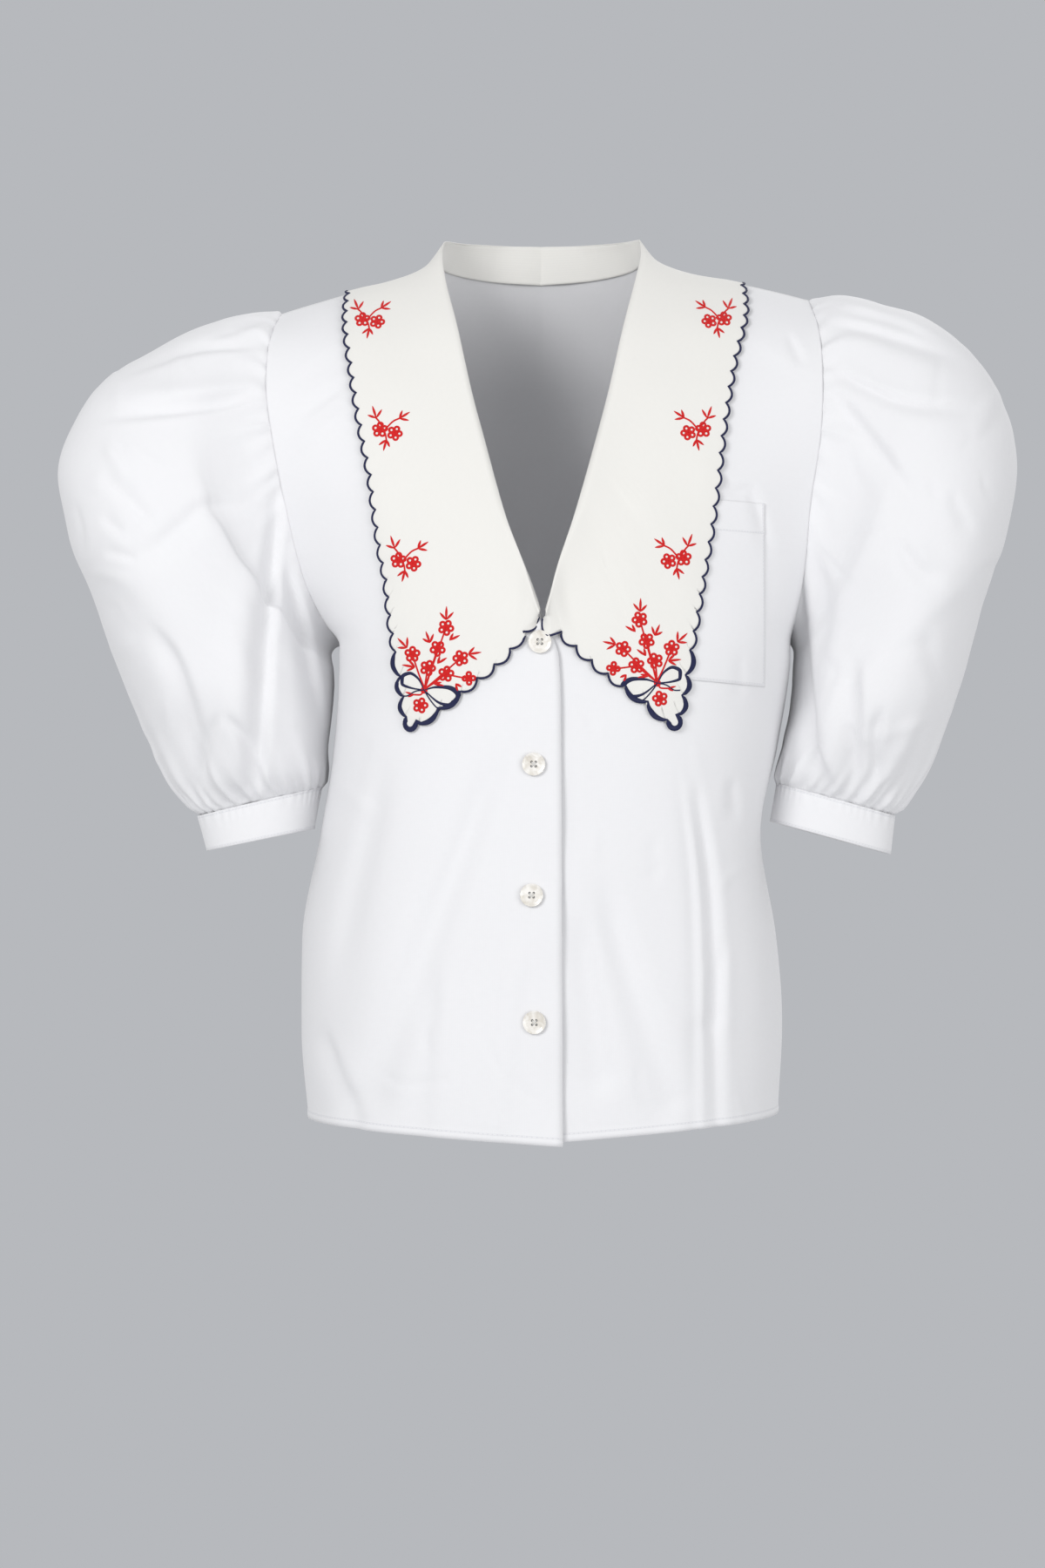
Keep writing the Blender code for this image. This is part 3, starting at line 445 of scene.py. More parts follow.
# Side seam and armhole, as in the part. Columns: share of height, x, z, front y, back y.
outerRight = [
    (0.00, -159.5, -587, -0.8, 0.8),
    (0.10, -164.5, -527, -0.8, 0.8),
    (0.20, -164.0, -465, -0.8, 0.8),
    (0.30, -151.5, -395, -0.8, 0.8),
    (0.40, -142.0, -335, -0.8, 0.8),
    (0.50, -138.5, -280, -0.8, 0.8),
    (0.53, -138.5, -265, -0.8, 0.8),
    (0.56, -147.0, -251, -22, 26),
    (0.60, -156.5, -233, -38, 45),
    (0.65, -165.0, -208, -48, 57),
    (0.70, -172.0, -178, -54, 63),
    (0.78, -181.0, -132, -57, 67),
    (0.88, -186.5, -86, -51, 62),
    (0.95, -184.5, -54, -30, 38),
    (1.00, -179.0, -36.5, -0.9, 0.9),
]
outerLeft = [
    (0.00, 162.0, -584, -0.8, 0.8),
    (0.10, 165.0, -525, -0.8, 0.8),
    (0.20, 160.5, -462, -0.8, 0.8),
    (0.30, 149.5, -393, -0.8, 0.8),
    (0.40, 161.5, -336, -0.8, 0.8),
    (0.50, 170.5, -278, -0.8, 0.8),
    (0.53, 171.0, -263, -0.8, 0.8),
    (0.56, 173.5, -247, -24, 28),
    (0.60, 176.0, -231, -39, 46),
    (0.65, 179.0, -205, -48, 57),
    (0.70, 181.5, -173, -54, 63),
    (0.78, 188.5, -124, -57, 67),
    (0.88, 190.0, -78, -51, 62),
    (0.95, 188.0, -46, -30, 38),
    (1.00, 184.0, -27, -0.9, 0.9),
]
# Front edges and the middle of the back. Columns: share of height, x (fronts only), y, z.
centreRight = [
    (0.00, 13.5, -134, -598),
    (0.20, 13.0, -132, -470),
    (0.40, 12.5, -129.5, -340),
    (0.50, 11.0, -127, -278),
    (0.55, 0.5, -125, -250),
    (0.62, -13, -119, -219),
    (0.70, -29, -110, -186),
    (0.80, -48, -87, -128),
    (0.88, -58, -67, -84),
    (0.95, -66, -38, -40),
    (0.98, -69, -16, -13),
    (1.00, -70, -0.9, -4),
]
centreLeft = [
    (0.00, -11.0, -131, -597),
    (0.20, -11.0, -129, -470),
    (0.40, -11.0, -126.5, -340),
    (0.50, -9.5, -124, -278),
    (0.55, 1.0, -122, -251),
    (0.62, 11, -117, -219),
    (0.70, 26, -109, -186),
    (0.80, 45, -87, -128),
    (0.88, 56, -67, -84),
    (0.95, 64, -38, -38),
    (0.98, 67.5, -16, -10),
    (1.00, 69, -0.9, -1),
]
backMiddle = [
    (0.00, 114, -586),
    (0.20, 110, -463),
    (0.40, 106, -336),
    (0.55, 109, -247),
    (0.68, 113, -180),
    (0.78, 111, -135),
    (0.88, 102, -90),
    (0.95, 82, -46),
    (1.00, 64, -8),
]
# Creases listed one by one, as seen from the front. Columns: points (x, z), width to each side, height (- is
# a trough).
bodyCreases = [
    ([(-24, -322), (-57, -406), (-116, -572)], 14, 19, -6.5),
    ([(-37, -330), (-70, -411), (-133, -564)], 9, 14, 3),
    ([(-104, -335), (-128, -430), (-145, -524)], 12, 8, -4),
    ([(-152, -524), (-128, -593)], 5, 8, -3),
    ([(25, -444), (42, -560)], 8, 12, -4.5),
    ([(40, -413), (61, -491), (89, -577)], 9, 13, -5),
    ([(96, -335), (110, -454), (112, -595)], 12, 4, 4),
    ([(102, -335), (118, -454), (120, -595)], 5, 12, -6),
    ([(125, -463), (118, -548)], 4, 7, -3),
    ([(131, -354), (134, -390)], 4, 6, -2.5),
    ([(-131, -83), (-175, -111)], 4, 6, -2),
    ([(-133, -102), (-172, -132)], 5, 8, 1.5),
    ([(169, -48), (183, -75)], 3, 5, -2),
    ([(122, -142), (133, -157), (143, -158), (152, -183), (157, -210)], 4, 6, -2.6),
    ([(-13, -456), (-31, -594)], 8, 14, 2.5),
    ([(-73, -480), (-85, -600)], 8, 12, -2.5),
]
# The hidden back
backCreases = [
    ([(-10, -260), (-40, -400), (-70, -580)], 12, 17, -5.5),
    ([(40, -290), (58, -420), (52, -585)], 16, 10, -5),
    ([(100, -300), (112, -430), (120, -575)], 8, 13, -5),
    ([(-95, -290), (-112, -430), (-125, -575)], 13, 8, -5),
    ([(5, -330), (2, -450), (-8, -585)], 16, 12, 3),
    ([(-120, -140), (-60, -190), (10, -212)], 9, 14, -3),
    ([(120, -150), (75, -196), (30, -226)], 8, 12, -2.5),
    ([(-60, -470), (-90, -590)], 6, 9, -3),
    ([(80, -440), (92, -590)], 6, 9, 2.5),
]


def outerEdge(outer, height, across):
    # The side seam and armhole, evened out away from the edge so that the armhole's hook stays near it.
    sharp = through(outer, height)
    offsets = np.linspace(-0.09, 0.09, 9)
    even = sum(through(outer, np.clip(height + offset, 0, 1)) for offset in offsets) / len(offsets)
    near = smooth(0.55, 1.0, np.abs(across)) + smooth(0.10, 0.02, height) + smooth(0.86, 0.94, height)
    near = np.clip(near, 0, 1)[..., None]
    return sharp * near + even * (1 - near)


def frontGrid(outer, centre, columns, rows, over):
    height = np.linspace(0, 1, rows + 1)[:, None] * np.ones((1, columns + 1))
    across = np.linspace(0, 1, columns + 1)[None, :] * np.ones((rows + 1, 1))
    edge, middle = outerEdge(outer, height, across), through(centre, height)
    turn = across * math.pi / 2
    flat = smooth(0.5, 0.72, height)
    power = 2 / panelSet["roundness"]
    share = (1 - flat) * np.sin(turn) ** power + flat * across
    bend = (1 - flat) * (1 - np.cos(turn) ** power) + flat * across**2
    grid = np.empty(height.shape + (3,))
    grid[..., 0] = middle[..., 0] + (edge[..., 0] - middle[..., 0]) * share
    edgeY = np.minimum(edge[..., 2] + 0.62 * mm, -0.18 * mm)
    grid[..., 1] = middle[..., 1] + (edgeY - middle[..., 1]) * bend
    grid[..., 2] = middle[..., 2] + (edge[..., 1] - middle[..., 2]) * share
    x, z = seen(grid)
    rise = creased(x, z, bodyCreases + straySmall(*panelSet["stray"]), -555) + swell(x, z, 3, 90, 1.2)
    rise = rise * (1 - 0.92 * smooth(0.86, 1.0, across))
    belowCollar = smooth(0, 0.25, 0.53 - height)
    if over:
        wave = 0.9 + 0.5 * np.sin(z / (78 * mm) * 2 * math.pi + 0.6)
        rise = rise + panelSet["lapRise"] * mm * wave * (1 - smooth(0.0, 0.10, across)) * belowCollar
    else:
        rise = rise + panelSet["underRise"] * mm * (1 - smooth(0.08, 0.16, across)) * belowCollar
    return grid + outNormals(grid, np.array([0, -1, 0])) * rise[..., None]


def backGrid(columns, rows):
    height = np.linspace(0, 1, rows + 1)[:, None] * np.ones((1, columns + 1))
    across = np.linspace(-1, 1, columns + 1)[None, :] * np.ones((rows + 1, 1))
    right, left = outerEdge(outerRight, height, across), outerEdge(outerLeft, height, across)
    middle = through(backMiddle, height)
    edge = np.where(across[..., None] < 0, right, left)
    turn = np.abs(across) * math.pi / 2
    flat = smooth(0.5, 0.72, height)
    power = 2 / panelSet["roundness"]
    share = (1 - flat) * np.sin(turn) ** power + flat * np.abs(across)
    topPower = 2.0 - 0.9 * smooth(0.8, 0.95, height)
    bend = (1 - flat) * (1 - np.cos(turn) ** power) + flat * share**topPower
    grid = np.empty(height.shape + (3,))
    grid[..., 0] = edge[..., 0] * share
    edgeY = np.maximum(edge[..., 3] - 0.62 * mm, 0.18 * mm)
    grid[..., 1] = middle[..., 0] + (edgeY - middle[..., 0]) * bend
    grid[..., 2] = middle[..., 1] + (edge[..., 1] - middle[..., 1]) * share
    # The top row follows the neck's curve between the shoulders.
    topX = grid[-1, :, 0]
    neck = np.where(topX[:, None] < 0, np.array(backSet["neckRight"]), np.array(backSet["neckLeft"])) * mm
    inside = np.clip(np.abs(topX / neck[:, 0]), 0, 1)
    beyond = (np.abs(topX) - np.abs(neck[:, 0])) / (np.abs(edge[-1, :, 0]) - np.abs(neck[:, 0]))
    top = grid[-1].copy()
    top[:, 1] = 0.3 * mm + backSet["neckDepth"] * mm * np.sqrt(np.clip(1 - inside**2.2, 0, 1))
    lowest = backSet["neckZ"] * mm
    neckZ = lowest + (neck[:, 1] - lowest) * inside**2
    top[:, 2] = neckZ + (edge[-1, :, 1] - neckZ) * np.clip(beyond, 0, 1)
    weight = smooth(0.90, 1.0, height)[..., None]
    grid = grid * (1 - weight) + top[None] * weight
    x, z = grid[..., 0], grid[..., 2]
    rise = creased(x, z, backCreases + straySmall(*backSet["stray"]), -555) + swell(x, z, 4, 100, 1.2)
    rise = rise * (1 - 0.92 * smooth(0.88, 1.0, np.abs(across))) * (1 - 0.8 * smooth(0.93, 1.0, height))
    return grid + outNormals(grid, np.array([0, 1, 0])) * rise[..., None]


def panel(name, grid, outwardWay, hasFacing):
    flat = flatLengths(grid)
    fromHem, fromEdge = flat[..., 1], flat[..., 0]
    hem = 1 - smooth(panelSet["hem"] - 0.5, panelSet["hem"] + 0.5, fromHem)
    fold = (1 - smooth(panelSet["facing"] - 1, panelSet["facing"], fromEdge)) * hasFacing
    extra = panelSet["hemExtra"] * np.maximum(hem, fold * 0.4)
    piece = clothShell(name + "_cloth", grid, panelSet["wall"], outwardWay, thicker=extra)
    stitched(piece, fromHem - panelSet["hem"], fromEdge)
    finished(piece, cotton, name)
    areas[name] = clothArea(grid)


frontRightGrid = frontGrid(outerRight, centreRight, panelSet["columns"], panelSet["rows"], True)
frontLeftGrid = frontGrid(outerLeft, centreLeft, panelSet["columns"], panelSet["rows"], False)
backPanelGrid = backGrid(backSet["columns"], backSet["rows"])
areas = {}
panel("front_right", frontRightGrid, np.array([0, -1, 0]), 1)
panel("front_left", frontLeftGrid, np.array([0, -1, 0]), 1)
panel("back", backPanelGrid, np.array([0, 1, 0]), 0)
print("panels made")

# Sleeves and cuffs. seamStep is how far the sleeve stands out of its seam, underCuff how far it tucks in.
sleeveSet = {
    "wall": 0.45,
    "columns": 300,
    "rows": 130,
    "seamStep": -1.2,
    "underCuff": 2.4,
    "underarm": 0.53,
    "capGathers": (40, 0.038, (9, 32), 2.5),
    "cuffGathers": (30, 0.055, (16, 62), 3.4),
    "frontStray": (44, (16, 60), (2.5, 6), (0.3, 1.1)),
    "backStray": (40, (16, 60), (2.5, 6), (0.3, 1.1)),
}
cuffSet = {"wall": 1.3, "columns": 240, "rows": 20, "pucker": 0.25, "dent": 0.5, "stitchFromEdge": 1.6}
# Columns: share of the length, the outer silhouette's x and z, the inner one's x and z, depth in front,
# depth behind, how far the ring bows out, y of its middle
sleeveRightRings = [
    (0.00, -180, -36, -138.5, -265, 58, 66, 20, 0),
    (0.08, -196, -34, -144.0, -268, 66, 73, 40, 0),
    (0.16, -227, -43, -143.5, -274, 77, 81, 36, 0),
    (0.25, -266, -61.5, -142.5, -282, 84, 87, 20, 0),
    (0.33, -299, -81.5, -142.5, -290, 87, 90, 13, 0),
    (0.41, -320, -108.5, -143, -298, 88, 90, 7, -1),
    (0.50, -332, -150, -143.5, -306, 87, 88, 4, -2),
    (0.58, -324, -190, -144, -313, 85, 84, 2, -4),
    (0.66, -311, -224, -144.5, -320, 82, 80, 0, -6),
    (0.75, -290, -279, -145.5, -328, 76, 74, 0, -8),
    (0.84, -271.5, -322, -147, -338, 64, 62, 0, -11),
    (0.92, -254, -358, -148.5, -350, 48, 46, 0, -14),
    (1.00, -235.5, -381.0, -149.8, -361.0, 30.5, 30.5, 0, -16),
]
sleeveLeftRings = [
    (0.00, 185, -26, 171, -263, 58, 66, 12, 0),
    (0.08, 208, -23, 174, -266, 66, 73, 22, 0),
    (0.16, 236, -32, 174.5, -272, 77, 81, 20, 0),
    (0.25, 266, -42, 174, -279, 84, 87, 14, 0),
    (0.33, 295, -63, 173.5, -287, 87, 90, 10, 0),
    (0.41, 317, -97, 173, -294, 88, 90, 7, -1),
    (0.50, 326, -142, 172, -302, 87, 88, 4, -2),
    (0.58, 319, -190, 171, -310, 85, 84, 2, -4),
    (0.66, 305, -228, 169.5, -318, 82, 80, 0, -6),
    (0.75, 289, -288, 167.5, -327, 76, 74, 0, -8),
    (0.84, 275, -326, 166, -337, 64, 62, 0, -11),
    (0.92, 262, -354, 163.5, -348, 48, 46, 0, -14),
    (1.00, 242, -381.0, 160.8, -358.6, 30.5, 30.5, 0, -16),
]
# Upper and lower edge: outer x and z, inner x and z, half depth, y of the middle
cuffRightEdges = [(-234.5, -381.7, -150.5, -361.8, 29.5, -16), (-228, -405.5, -155.5, -390.5, 27.5, -18)]
cuffLeftEdges = [(241, -381.7, 161.2, -359.4, 29.5, -16), (238, -408, 156.5, -385.5, 28.5, -18)]
sleeveRightCreases = [
    ([(-188, -41), (-234, -53)], 3, 6, -3),
    ([(-186, -58), (-236, -61), (-300, -82)], 3, 6, -3),
    ([(-186, -82), (-229, -90), (-300, -97)], 4, 9, 3.0),
    ([(-186, -91), (-222, -100), (-273, -105), (-320, -109)], 3, 7, -3.6),
    ([(-264, -184), (-307, -143)], 4, 7, -2.5),
    ([(-286, -189), (-305, -175)], 3, 5, -2),
    ([(-277, -206), (-305, -198)], 3, 5, -2),
    ([(-196, -170), (-229, -169), (-250, -184), (-275, -202), (-294, -189)], 10, 7, -4),
    ([(-277, -243), (-256, -271), (-245, -300), (-236, -338), (-231, -365)], 6, 10, -5.5),
    ([(-176, -122), (-180, -160), (-186, -228), (-189.5, -280), (-193, -333), (-199, -372)], 3.4, 8, -7),
    ([(-177, -196), (-169, -232), (-160, -265), (-154, -300), (-146, -334)], 3, 10, -6),
    ([(-220, -308), (-231, -333), (-235, -360)], 3, 6, -3),
    ([(-220, -308), (-204, -330), (-199, -360)], 5, 4, -3),
    ([(-205, -204), (-210, -288), (-216, -354)], 10, 14, 4.5),
    ([(-301, -120), (-283, -156)], 4, 6, 2),
]
sleeveLeftCreases = [
    ([(192, -26), (241, -39), (265, -49), (300, -63)], 8, 3, 3.5),
    ([(188, -42), (222, -46), (260, -58), (308, -72)], 3, 7, -3.6),
    ([(191, -63), (221, -85), (255, -97), (290, -99), (312, -92)], 3, 7, -4),
    ([(197, -83), (257, -164), (263, -175)], 5, 9, -5),
    ([(244, -189), (260, -211), (281, -221)], 5, 8, -4),
    ([(216, -270), (216, -338), (218, -368)], 5, 8, -6.5),
    ([(235, -303), (230, -338), (233, -365)], 4, 7, -4.5),
    ([(177, -200), (179, -250), (182.5, -295), (186, -325), (191, -354), (197, -372)], 5, 6, -6.5),
    ([(185, -185), (195, -243), (195, -300)], 7, 8, -3.5),
    ([(203, -240), (197, -300), (200, -360)], 10, 10, 5),
    ([(189, -333), (200, -360)], 3, 5, -3),
    ([(281, -156), (299, -192)], 4, 7, -2),
    ([(263, -252), (278, -300)], 6, 9, -2.5),
]
# The hidden back halves of both sleeves
sleeveBackCreases = [
    ([(-200, -90), (-250, -150), (-290, -180)], 6, 11, -5),
    ([(-196, -130), (-215, -220), (-215, -340)], 6, 12, -7),
    ([(-290, -200), (-262, -280), (-240, -350)], 7, 11, -5),
    ([(-240, -200), (-235, -280), (-226, -350)], 10, 12, 4.5),
    ([(-195, -60), (-240, -72), (-285, -100)], 4, 8, -3.5),
    ([(-180, -190), (-172, -270), (-166, -345)], 6, 8, -5),
    ([(200, -80), (250, -140), (292, -172)], 6, 11, -5),
    ([(206, -130), (212, -220), (208, -340)], 6, 12, -7),
    ([(285, -200), (262, -280), (240, -350)], 7, 11, -5),
    ([(235, -200), (230, -280), (222, -350)], 10, 12, 4.5),
    ([(205, -50), (245, -62), (288, -92)], 4, 8, -3.5),
    ([(192, -190), (184, -270), (178, -345)], 6, 8, -5),
]


def gathered(turn, along, seed, count, spread, lengths, rise):
    # Separate pleats round a ring, uneven in place, length and height. along is in mm from the seam.
    dice = random.Random(seed)
    total = np.zeros(turn.shape)
    for index in range(count):
        place = (index + dice.uniform(-0.3, 0.3)) / count * 2 * math.pi
        wide = spread * dice.uniform(0.7, 1.35)
        long = dice.uniform(*lengths)
        high = rise * dice.uniform(0.55, 1.25)
        lean = dice.uniform(-0.10, 0.10)
        gap = np.abs((turn - place - lean * along / 60 + math.pi) % (2 * math.pi) - math.pi)
        opened = wide * (1 + 0.9 * along / long)
        total += high * np.exp(-((gap / opened) ** 2)) * np.exp(-((along / long) ** 2))
    return total * mm


def sleeveGrid(frontEdge, backEdge, rings, creases, side, seed):
    columns, rows = sleeveSet["columns"], sleeveSet["rows"]
    length = np.linspace(0, 1, rows + 1)[:, None] * np.ones((1, columns))
    turn = (np.arange(columns) / columns * 2 * math.pi)[None, :] * np.ones((rows + 1, 1))
    ring = through(rings, length)
    out, inn = ring[..., 0:2], ring[..., 2:4]
    middle, reach = (out + inn) / 2, (out - inn) / 2
    bowWay = np.stack([reach[..., 1], -reach[..., 0]], axis=-1)
    bowWay = unit(bowWay) * side
    front = np.sin(turn) > 0
    depth = np.where(front, ring[..., 4], ring[..., 5])
    bow = ring[..., 6] * np.sin(turn) ** 2
    plane = middle + reach * np.cos(turn)[..., None] + bowWay * bow[..., None]
    grid = np.stack([plane[..., 0], ring[..., 7] - depth * np.sin(turn), plane[..., 1]], axis=-1)
    way = np.where(turn[0] <= math.pi, turn[0] / math.pi, 2 - turn[0] / math.pi)
    wanted = 1 - (1 - sleeveSet["underarm"]) * way

    def hole(line):
        heights = np.linspace(0, 1, len(line))
        return np.stack([np.interp(wanted, heights, line[:, axis]) for axis in range(3)], axis=-1)

    seam = np.where((turn[0] <= math.pi)[:, None], hole(frontEdge), hole(backEdge))
    # The first ring starts square to the armhole, tucked under the panels.
    along = unit(np.roll(seam, -1, axis=0) - np.roll(seam, 1, axis=0))
    lead = np.array([side, 0.0, 0.4])
    aim = unit(lead - along * (along @ lead)[:, None])
    seam = seam + (aim * sleeveSet["seamStep"] - np.cross(along, aim) * side * 0.5) * mm
    weight = smooth(0, 0.14, length)[..., None]
    grid = seam[None] * (1 - weight) + grid * weight
    x, z = seen(grid)
    outer = smooth(-0.4, 0.2, np.cos(turn))
    facing = outer + (1 - outer) * smooth(0.1, 0.5, np.abs(np.sin(turn)))
    inFront = smooth(-0.3, 0.3, np.sin(turn))
    boxX = (-330, -150) if side < 0 else (150, 330)
    frontCount, *frontKind = sleeveSet["frontStray"]
    backCount, *backKind = sleeveSet["backStray"]
    box, slope = boxX + (-340, -50), (-side * 14, 40)
    strayFront = straySmall(seed, frontCount, box, slope, *frontKind)
    strayBack = straySmall(seed + 1, backCount, box, slope, *backKind)
    frontRise = creased(x, z, creases + strayFront, -330)
    backRise = creased(grid[..., 0], grid[..., 2], sleeveBackCreases + strayBack, -330)
    fold = (frontRise * inFront + backRise * (1 - inFront)) * facing
    fold = fold + swell(x, z, seed + 2, 70, 1.6) * smooth(0, 0.12, length)
    free = smooth(0.0, 0.07, length) * (1 - 0.8 * smooth(0.88, 1.0, length))
    girth = np.linalg.norm(np.diff(grid, axis=0), axis=-1).mean(axis=1) / mm
    run = np.concatenate([[0], np.cumsum(girth)])[:, None] * np.ones((1, columns))
    fromCuff = run[-1] - run
    cap = 0.15 + 0.85 * smooth(-0.75, 0.15, np.cos(turn))
    upper = gathered(turn, run, seed + 3, *sleeveSet["capGathers"]) * cap * smooth(0, 7, run)
    lower = gathered(turn, fromCuff, seed + 4, *sleeveSet["cuffGathers"]) * smooth(-1, 5, fromCuff)
    rise = fold * free + upper + lower - mm * (0.5 * smooth(26, 0, run) + 0.6 * smooth(26, 0, fromCuff))
    rise = rise - 1.6 * mm * smooth(7, 1, fromCuff)
    down = unit(grid[-1].mean(axis=0) - grid[-8].mean(axis=0))
    tuck = sleeveSet["underCuff"] * mm * smooth(6, 0, fromCuff)
    grid = grid + down * tuck[..., None]
    outward = grid - np.stack([middle[..., 0], ring[..., 7], middle[..., 1]], axis=-1)
    return grid + outNormals(grid, outward, True) * rise[..., None]


def cuffGrid(edges, columns, rows):
    turn = np.arange(columns) / columns * 2 * math.pi
    ends = []
    for row in edges:
        outX, outZ, inX, inZ, depth, middleY = [value * mm for value in row]
        x = (outX + inX) / 2 + (outX - inX) / 2 * np.cos(turn)
        z = (outZ + inZ) / 2 + (outZ - inZ) / 2 * np.cos(turn)
        ends.append(np.stack([x, middleY - depth * np.sin(turn), z], axis=-1))
    share = np.linspace(0, 1, rows + 1)[:, None, None]
    grid = ends[0][None] * (1 - share) + ends[1][None] * share
    outward = grid - grid.mean(axis=1, keepdims=True)
    flatShare = share[..., 0] * np.ones((1, columns))
    pucker = np.sin(turn * 37 + 3 * np.sin(turn * 5))[None] * (1 - smooth(0, 0.5, flatShare))
    dent = np.sin(turn * 3 + 1)[None] * np.ones_like(flatShare)
    rise = (cuffSet["pucker"] * pucker + cuffSet["dent"] * dent) * mm
    return grid + outNormals(grid, outward, True) * rise[..., None]


frontEdges = {"right": frontRightGrid[:, -1], "left": frontLeftGrid[:, -1]}
backEdges = {"right": backPanelGrid[:, 0], "left": backPanelGrid[:, -1]}
sleeveTables = {
    "right": (sleeveRightRings, sleeveRightCreases, -1, 21),
    "left": (sleeveLeftRings, sleeveLeftCreases, 1, 37),
}
for which, (rings, creases, side, seed) in sleeveTables.items():
    grid = sleeveGrid(frontEdges[which], backEdges[which], rings, creases, side, seed)
    name = "sleeve_" + which
    fromMiddle = grid - grid.mean(axis=1, keepdims=True)
    piece = clothShell(name + "_cloth", grid, sleeveSet["wall"], fromMiddle, True)
    unstitched(piece, grid)
    finished(piece, cotton, name)
    areas[name] = clothArea(grid, True)
for name, edges in (("cuff_right", cuffRightEdges), ("cuff_left", cuffLeftEdges)):
    grid = cuffGrid(edges, cuffSet["columns"], cuffSet["rows"])
    fromMiddle = grid - grid.mean(axis=1, keepdims=True)
    piece = clothShell(name + "_cloth", grid, cuffSet["wall"], fromMiddle, True)
    flat = flatLengths(grid)
    toEdge = np.minimum(flat[..., 1], flat[-1, 0, 1] - flat[..., 1])
    stitched(piece, toEdge - cuffSet["stitchFromEdge"], flat[..., 0])
    finished(piece, cotton, name)
    areas[name] = clothArea(grid, True)
print("sleeves and cuffs made")

# Pocket, a patch on the wearer's left chest with a turned top edge. left, bottom: its lower inner corner.
pocketSet = {
    "wall": 0.5,
    "lift": 0.75,
    "columns": 80,
    "rows": 100,
    "left": 56,
    "bottom": -288,
    "width": 93,
    "height": 120,
    "turnedTop": 20,
    "stitchFromEdge": 1.6,
}
leftTree = surfaceTree([frontLeftGrid])
pocketRows, pocketColumns = pocketSet["rows"], pocketSet["columns"]
pocketGrid = np.empty((pocketRows + 1, pocketColumns + 1, 3))
for row in range(pocketRows + 1):
    for column in range(pocketColumns + 1):
        across, up = column / pocketColumns, row / pocketRows
        x = pocketSet["left"] + pocketSet["width"] * across
        z = pocketSet["bottom"] - 7 * across + (pocketSet["height"] + 3 * across) * up
        place, normal, _, _ = leftTree.ray_cast(Vector((x * mm, -1, z * mm)), Vector((0, 1, 0)))
        pocketGrid[row, column] = place + outward(normal, place) * pocketSet["lift"] * mm
flat = flatLengths(pocketGrid)
wide, high = flat[-1, -1]
belowTurned = high - pocketSet["turnedTop"] - flat[..., 1]
hemTop = smooth(0.5, 0, belowTurned) * 0.4
ahead = np.array([0, -1, 0])
piece = clothShell("chest_pocket_cloth", pocketGrid, pocketSet["wall"], ahead, thicker=hemTop)
toEdge = np.minimum(np.minimum(flat[..., 0], wide - flat[..., 0]), flat[..., 1])
gap = np.where(np.abs(belowTurned) < 1, belowTurned, toEdge - pocketSet["stitchFromEdge"])
stitched(piece, gap, flat[..., 0] + flat[..., 1])
finished(piece, cotton, "chest_pocket")
areas["chest_pocket"] = clothArea(pocketGrid)
print("pocket made")

# Collar. sideLobes and frontLobes are the big lobes on each side of the point, from the point on. A depth is
# how far a lobe swells out of the rim's line, and the nub is the round lobe on the point itself.
collarSet = {
    "wall": 0.9,
    "lift": 2.2,
    "leastLift": 1.3,
    "standRows": 9,
    "standDrops": (3.4, 1.7),
    "leafRows": 17,
    "rimRows": 9,
    "passes": (18, 4),
    "lobeSteps": 12,
    "sideLobes": (9.5, 13.6, 13.6, 16.8),
    "sidePitch": 12.2,
    "sideDepth": 3.2,
    "frontLobes": (8.9, 17.8, 18.6),
    "frontPitch": 13.6,
    "frontDepth": 4.0,
    "bigDepth": 5.0,
    "nubRadius": 5.4,
    "nubDepth": 9.3,
    "wave": 0.9,
    "deepestDip": 0.15,
}
# Where on the roll each part of the rim hangs from. Columns: place on the rim, place on the roll.
hangsFrom = [
    (0.00, 0.00),
    (0.36, 0.36),
    (0.54, 0.52),
    (0.72, 0.66),
    (0.84, 0.735),
    (0.90, 0.765),
    (0.93, 0.79),
    (0.96, 0.83),
    (0.98, 0.885),
    (0.993, 0.955),
    (1.00, 1.00),
]
# Roll, neck seam and rim of each half. Columns: share of the way from the middle of the back, x, y, z.
rollRight = [
    (0.00, 0, 70, 21),
    (0.12, -30, 62, 20.5),
    (0.22, -55, 39, 18.5),
    (0.30, -68, 10, 15.5),
    (0.36, -68.5, -8, 4),
    (0.42, -66, -27, -15),
    (0.50, -57.5, -56, -49),
    (0.60, -46.5, -81, -99),
    (0.68, -38.5, -95, -130),
    (0.80, -23.0, -118.5, -187),
    (0.88, -12.3, -126, -216),
    (0.95, -5, -132, -240),
    (1.00, -2.2, -134, -248),
]
rollLeft = [
    (0.00, 0, 70, 21),
    (0.12, 30, 62, 20.5),
    (0.22, 55, 39, 19),
    (0.30, 69, 10, 17),
    (0.36, 69, -8, 6),
    (0.42, 65, -27, -13),
    (0.50, 55.5, -56, -49),
    (0.60, 44, -81, -99),
    (0.68, 36, -95, -130),
    (0.80, 20, -118.5, -187),
    (0.88, 10.5, -126, -216),
    (0.95, 4.5, -132, -240),
    (1.00, 2.6, -134, -248),
]
neckSeamRight = [
    (0.00, 0, 63.5, -5.8),
    (0.12, -38, 53, -4.5),
    (0.22, -62, 29, -2.6),
    (0.30, -69.5, 2, -1.6),
    (0.36, -69, -13, -8),
    (0.42, -65.8, -31.5, -28.5),
    (0.50, -60.3, -53.5, -60.5),
    (0.60, -51.5, -76, -103),
    (0.68, -43.5, -91, -134),
    (0.80, -25.5, -113.5, -187),
    (0.88, -12.5, -122, -215),
    (0.95, -4.5, -128, -238),
    (1.00, -1.8, -130.5, -246.5),
]
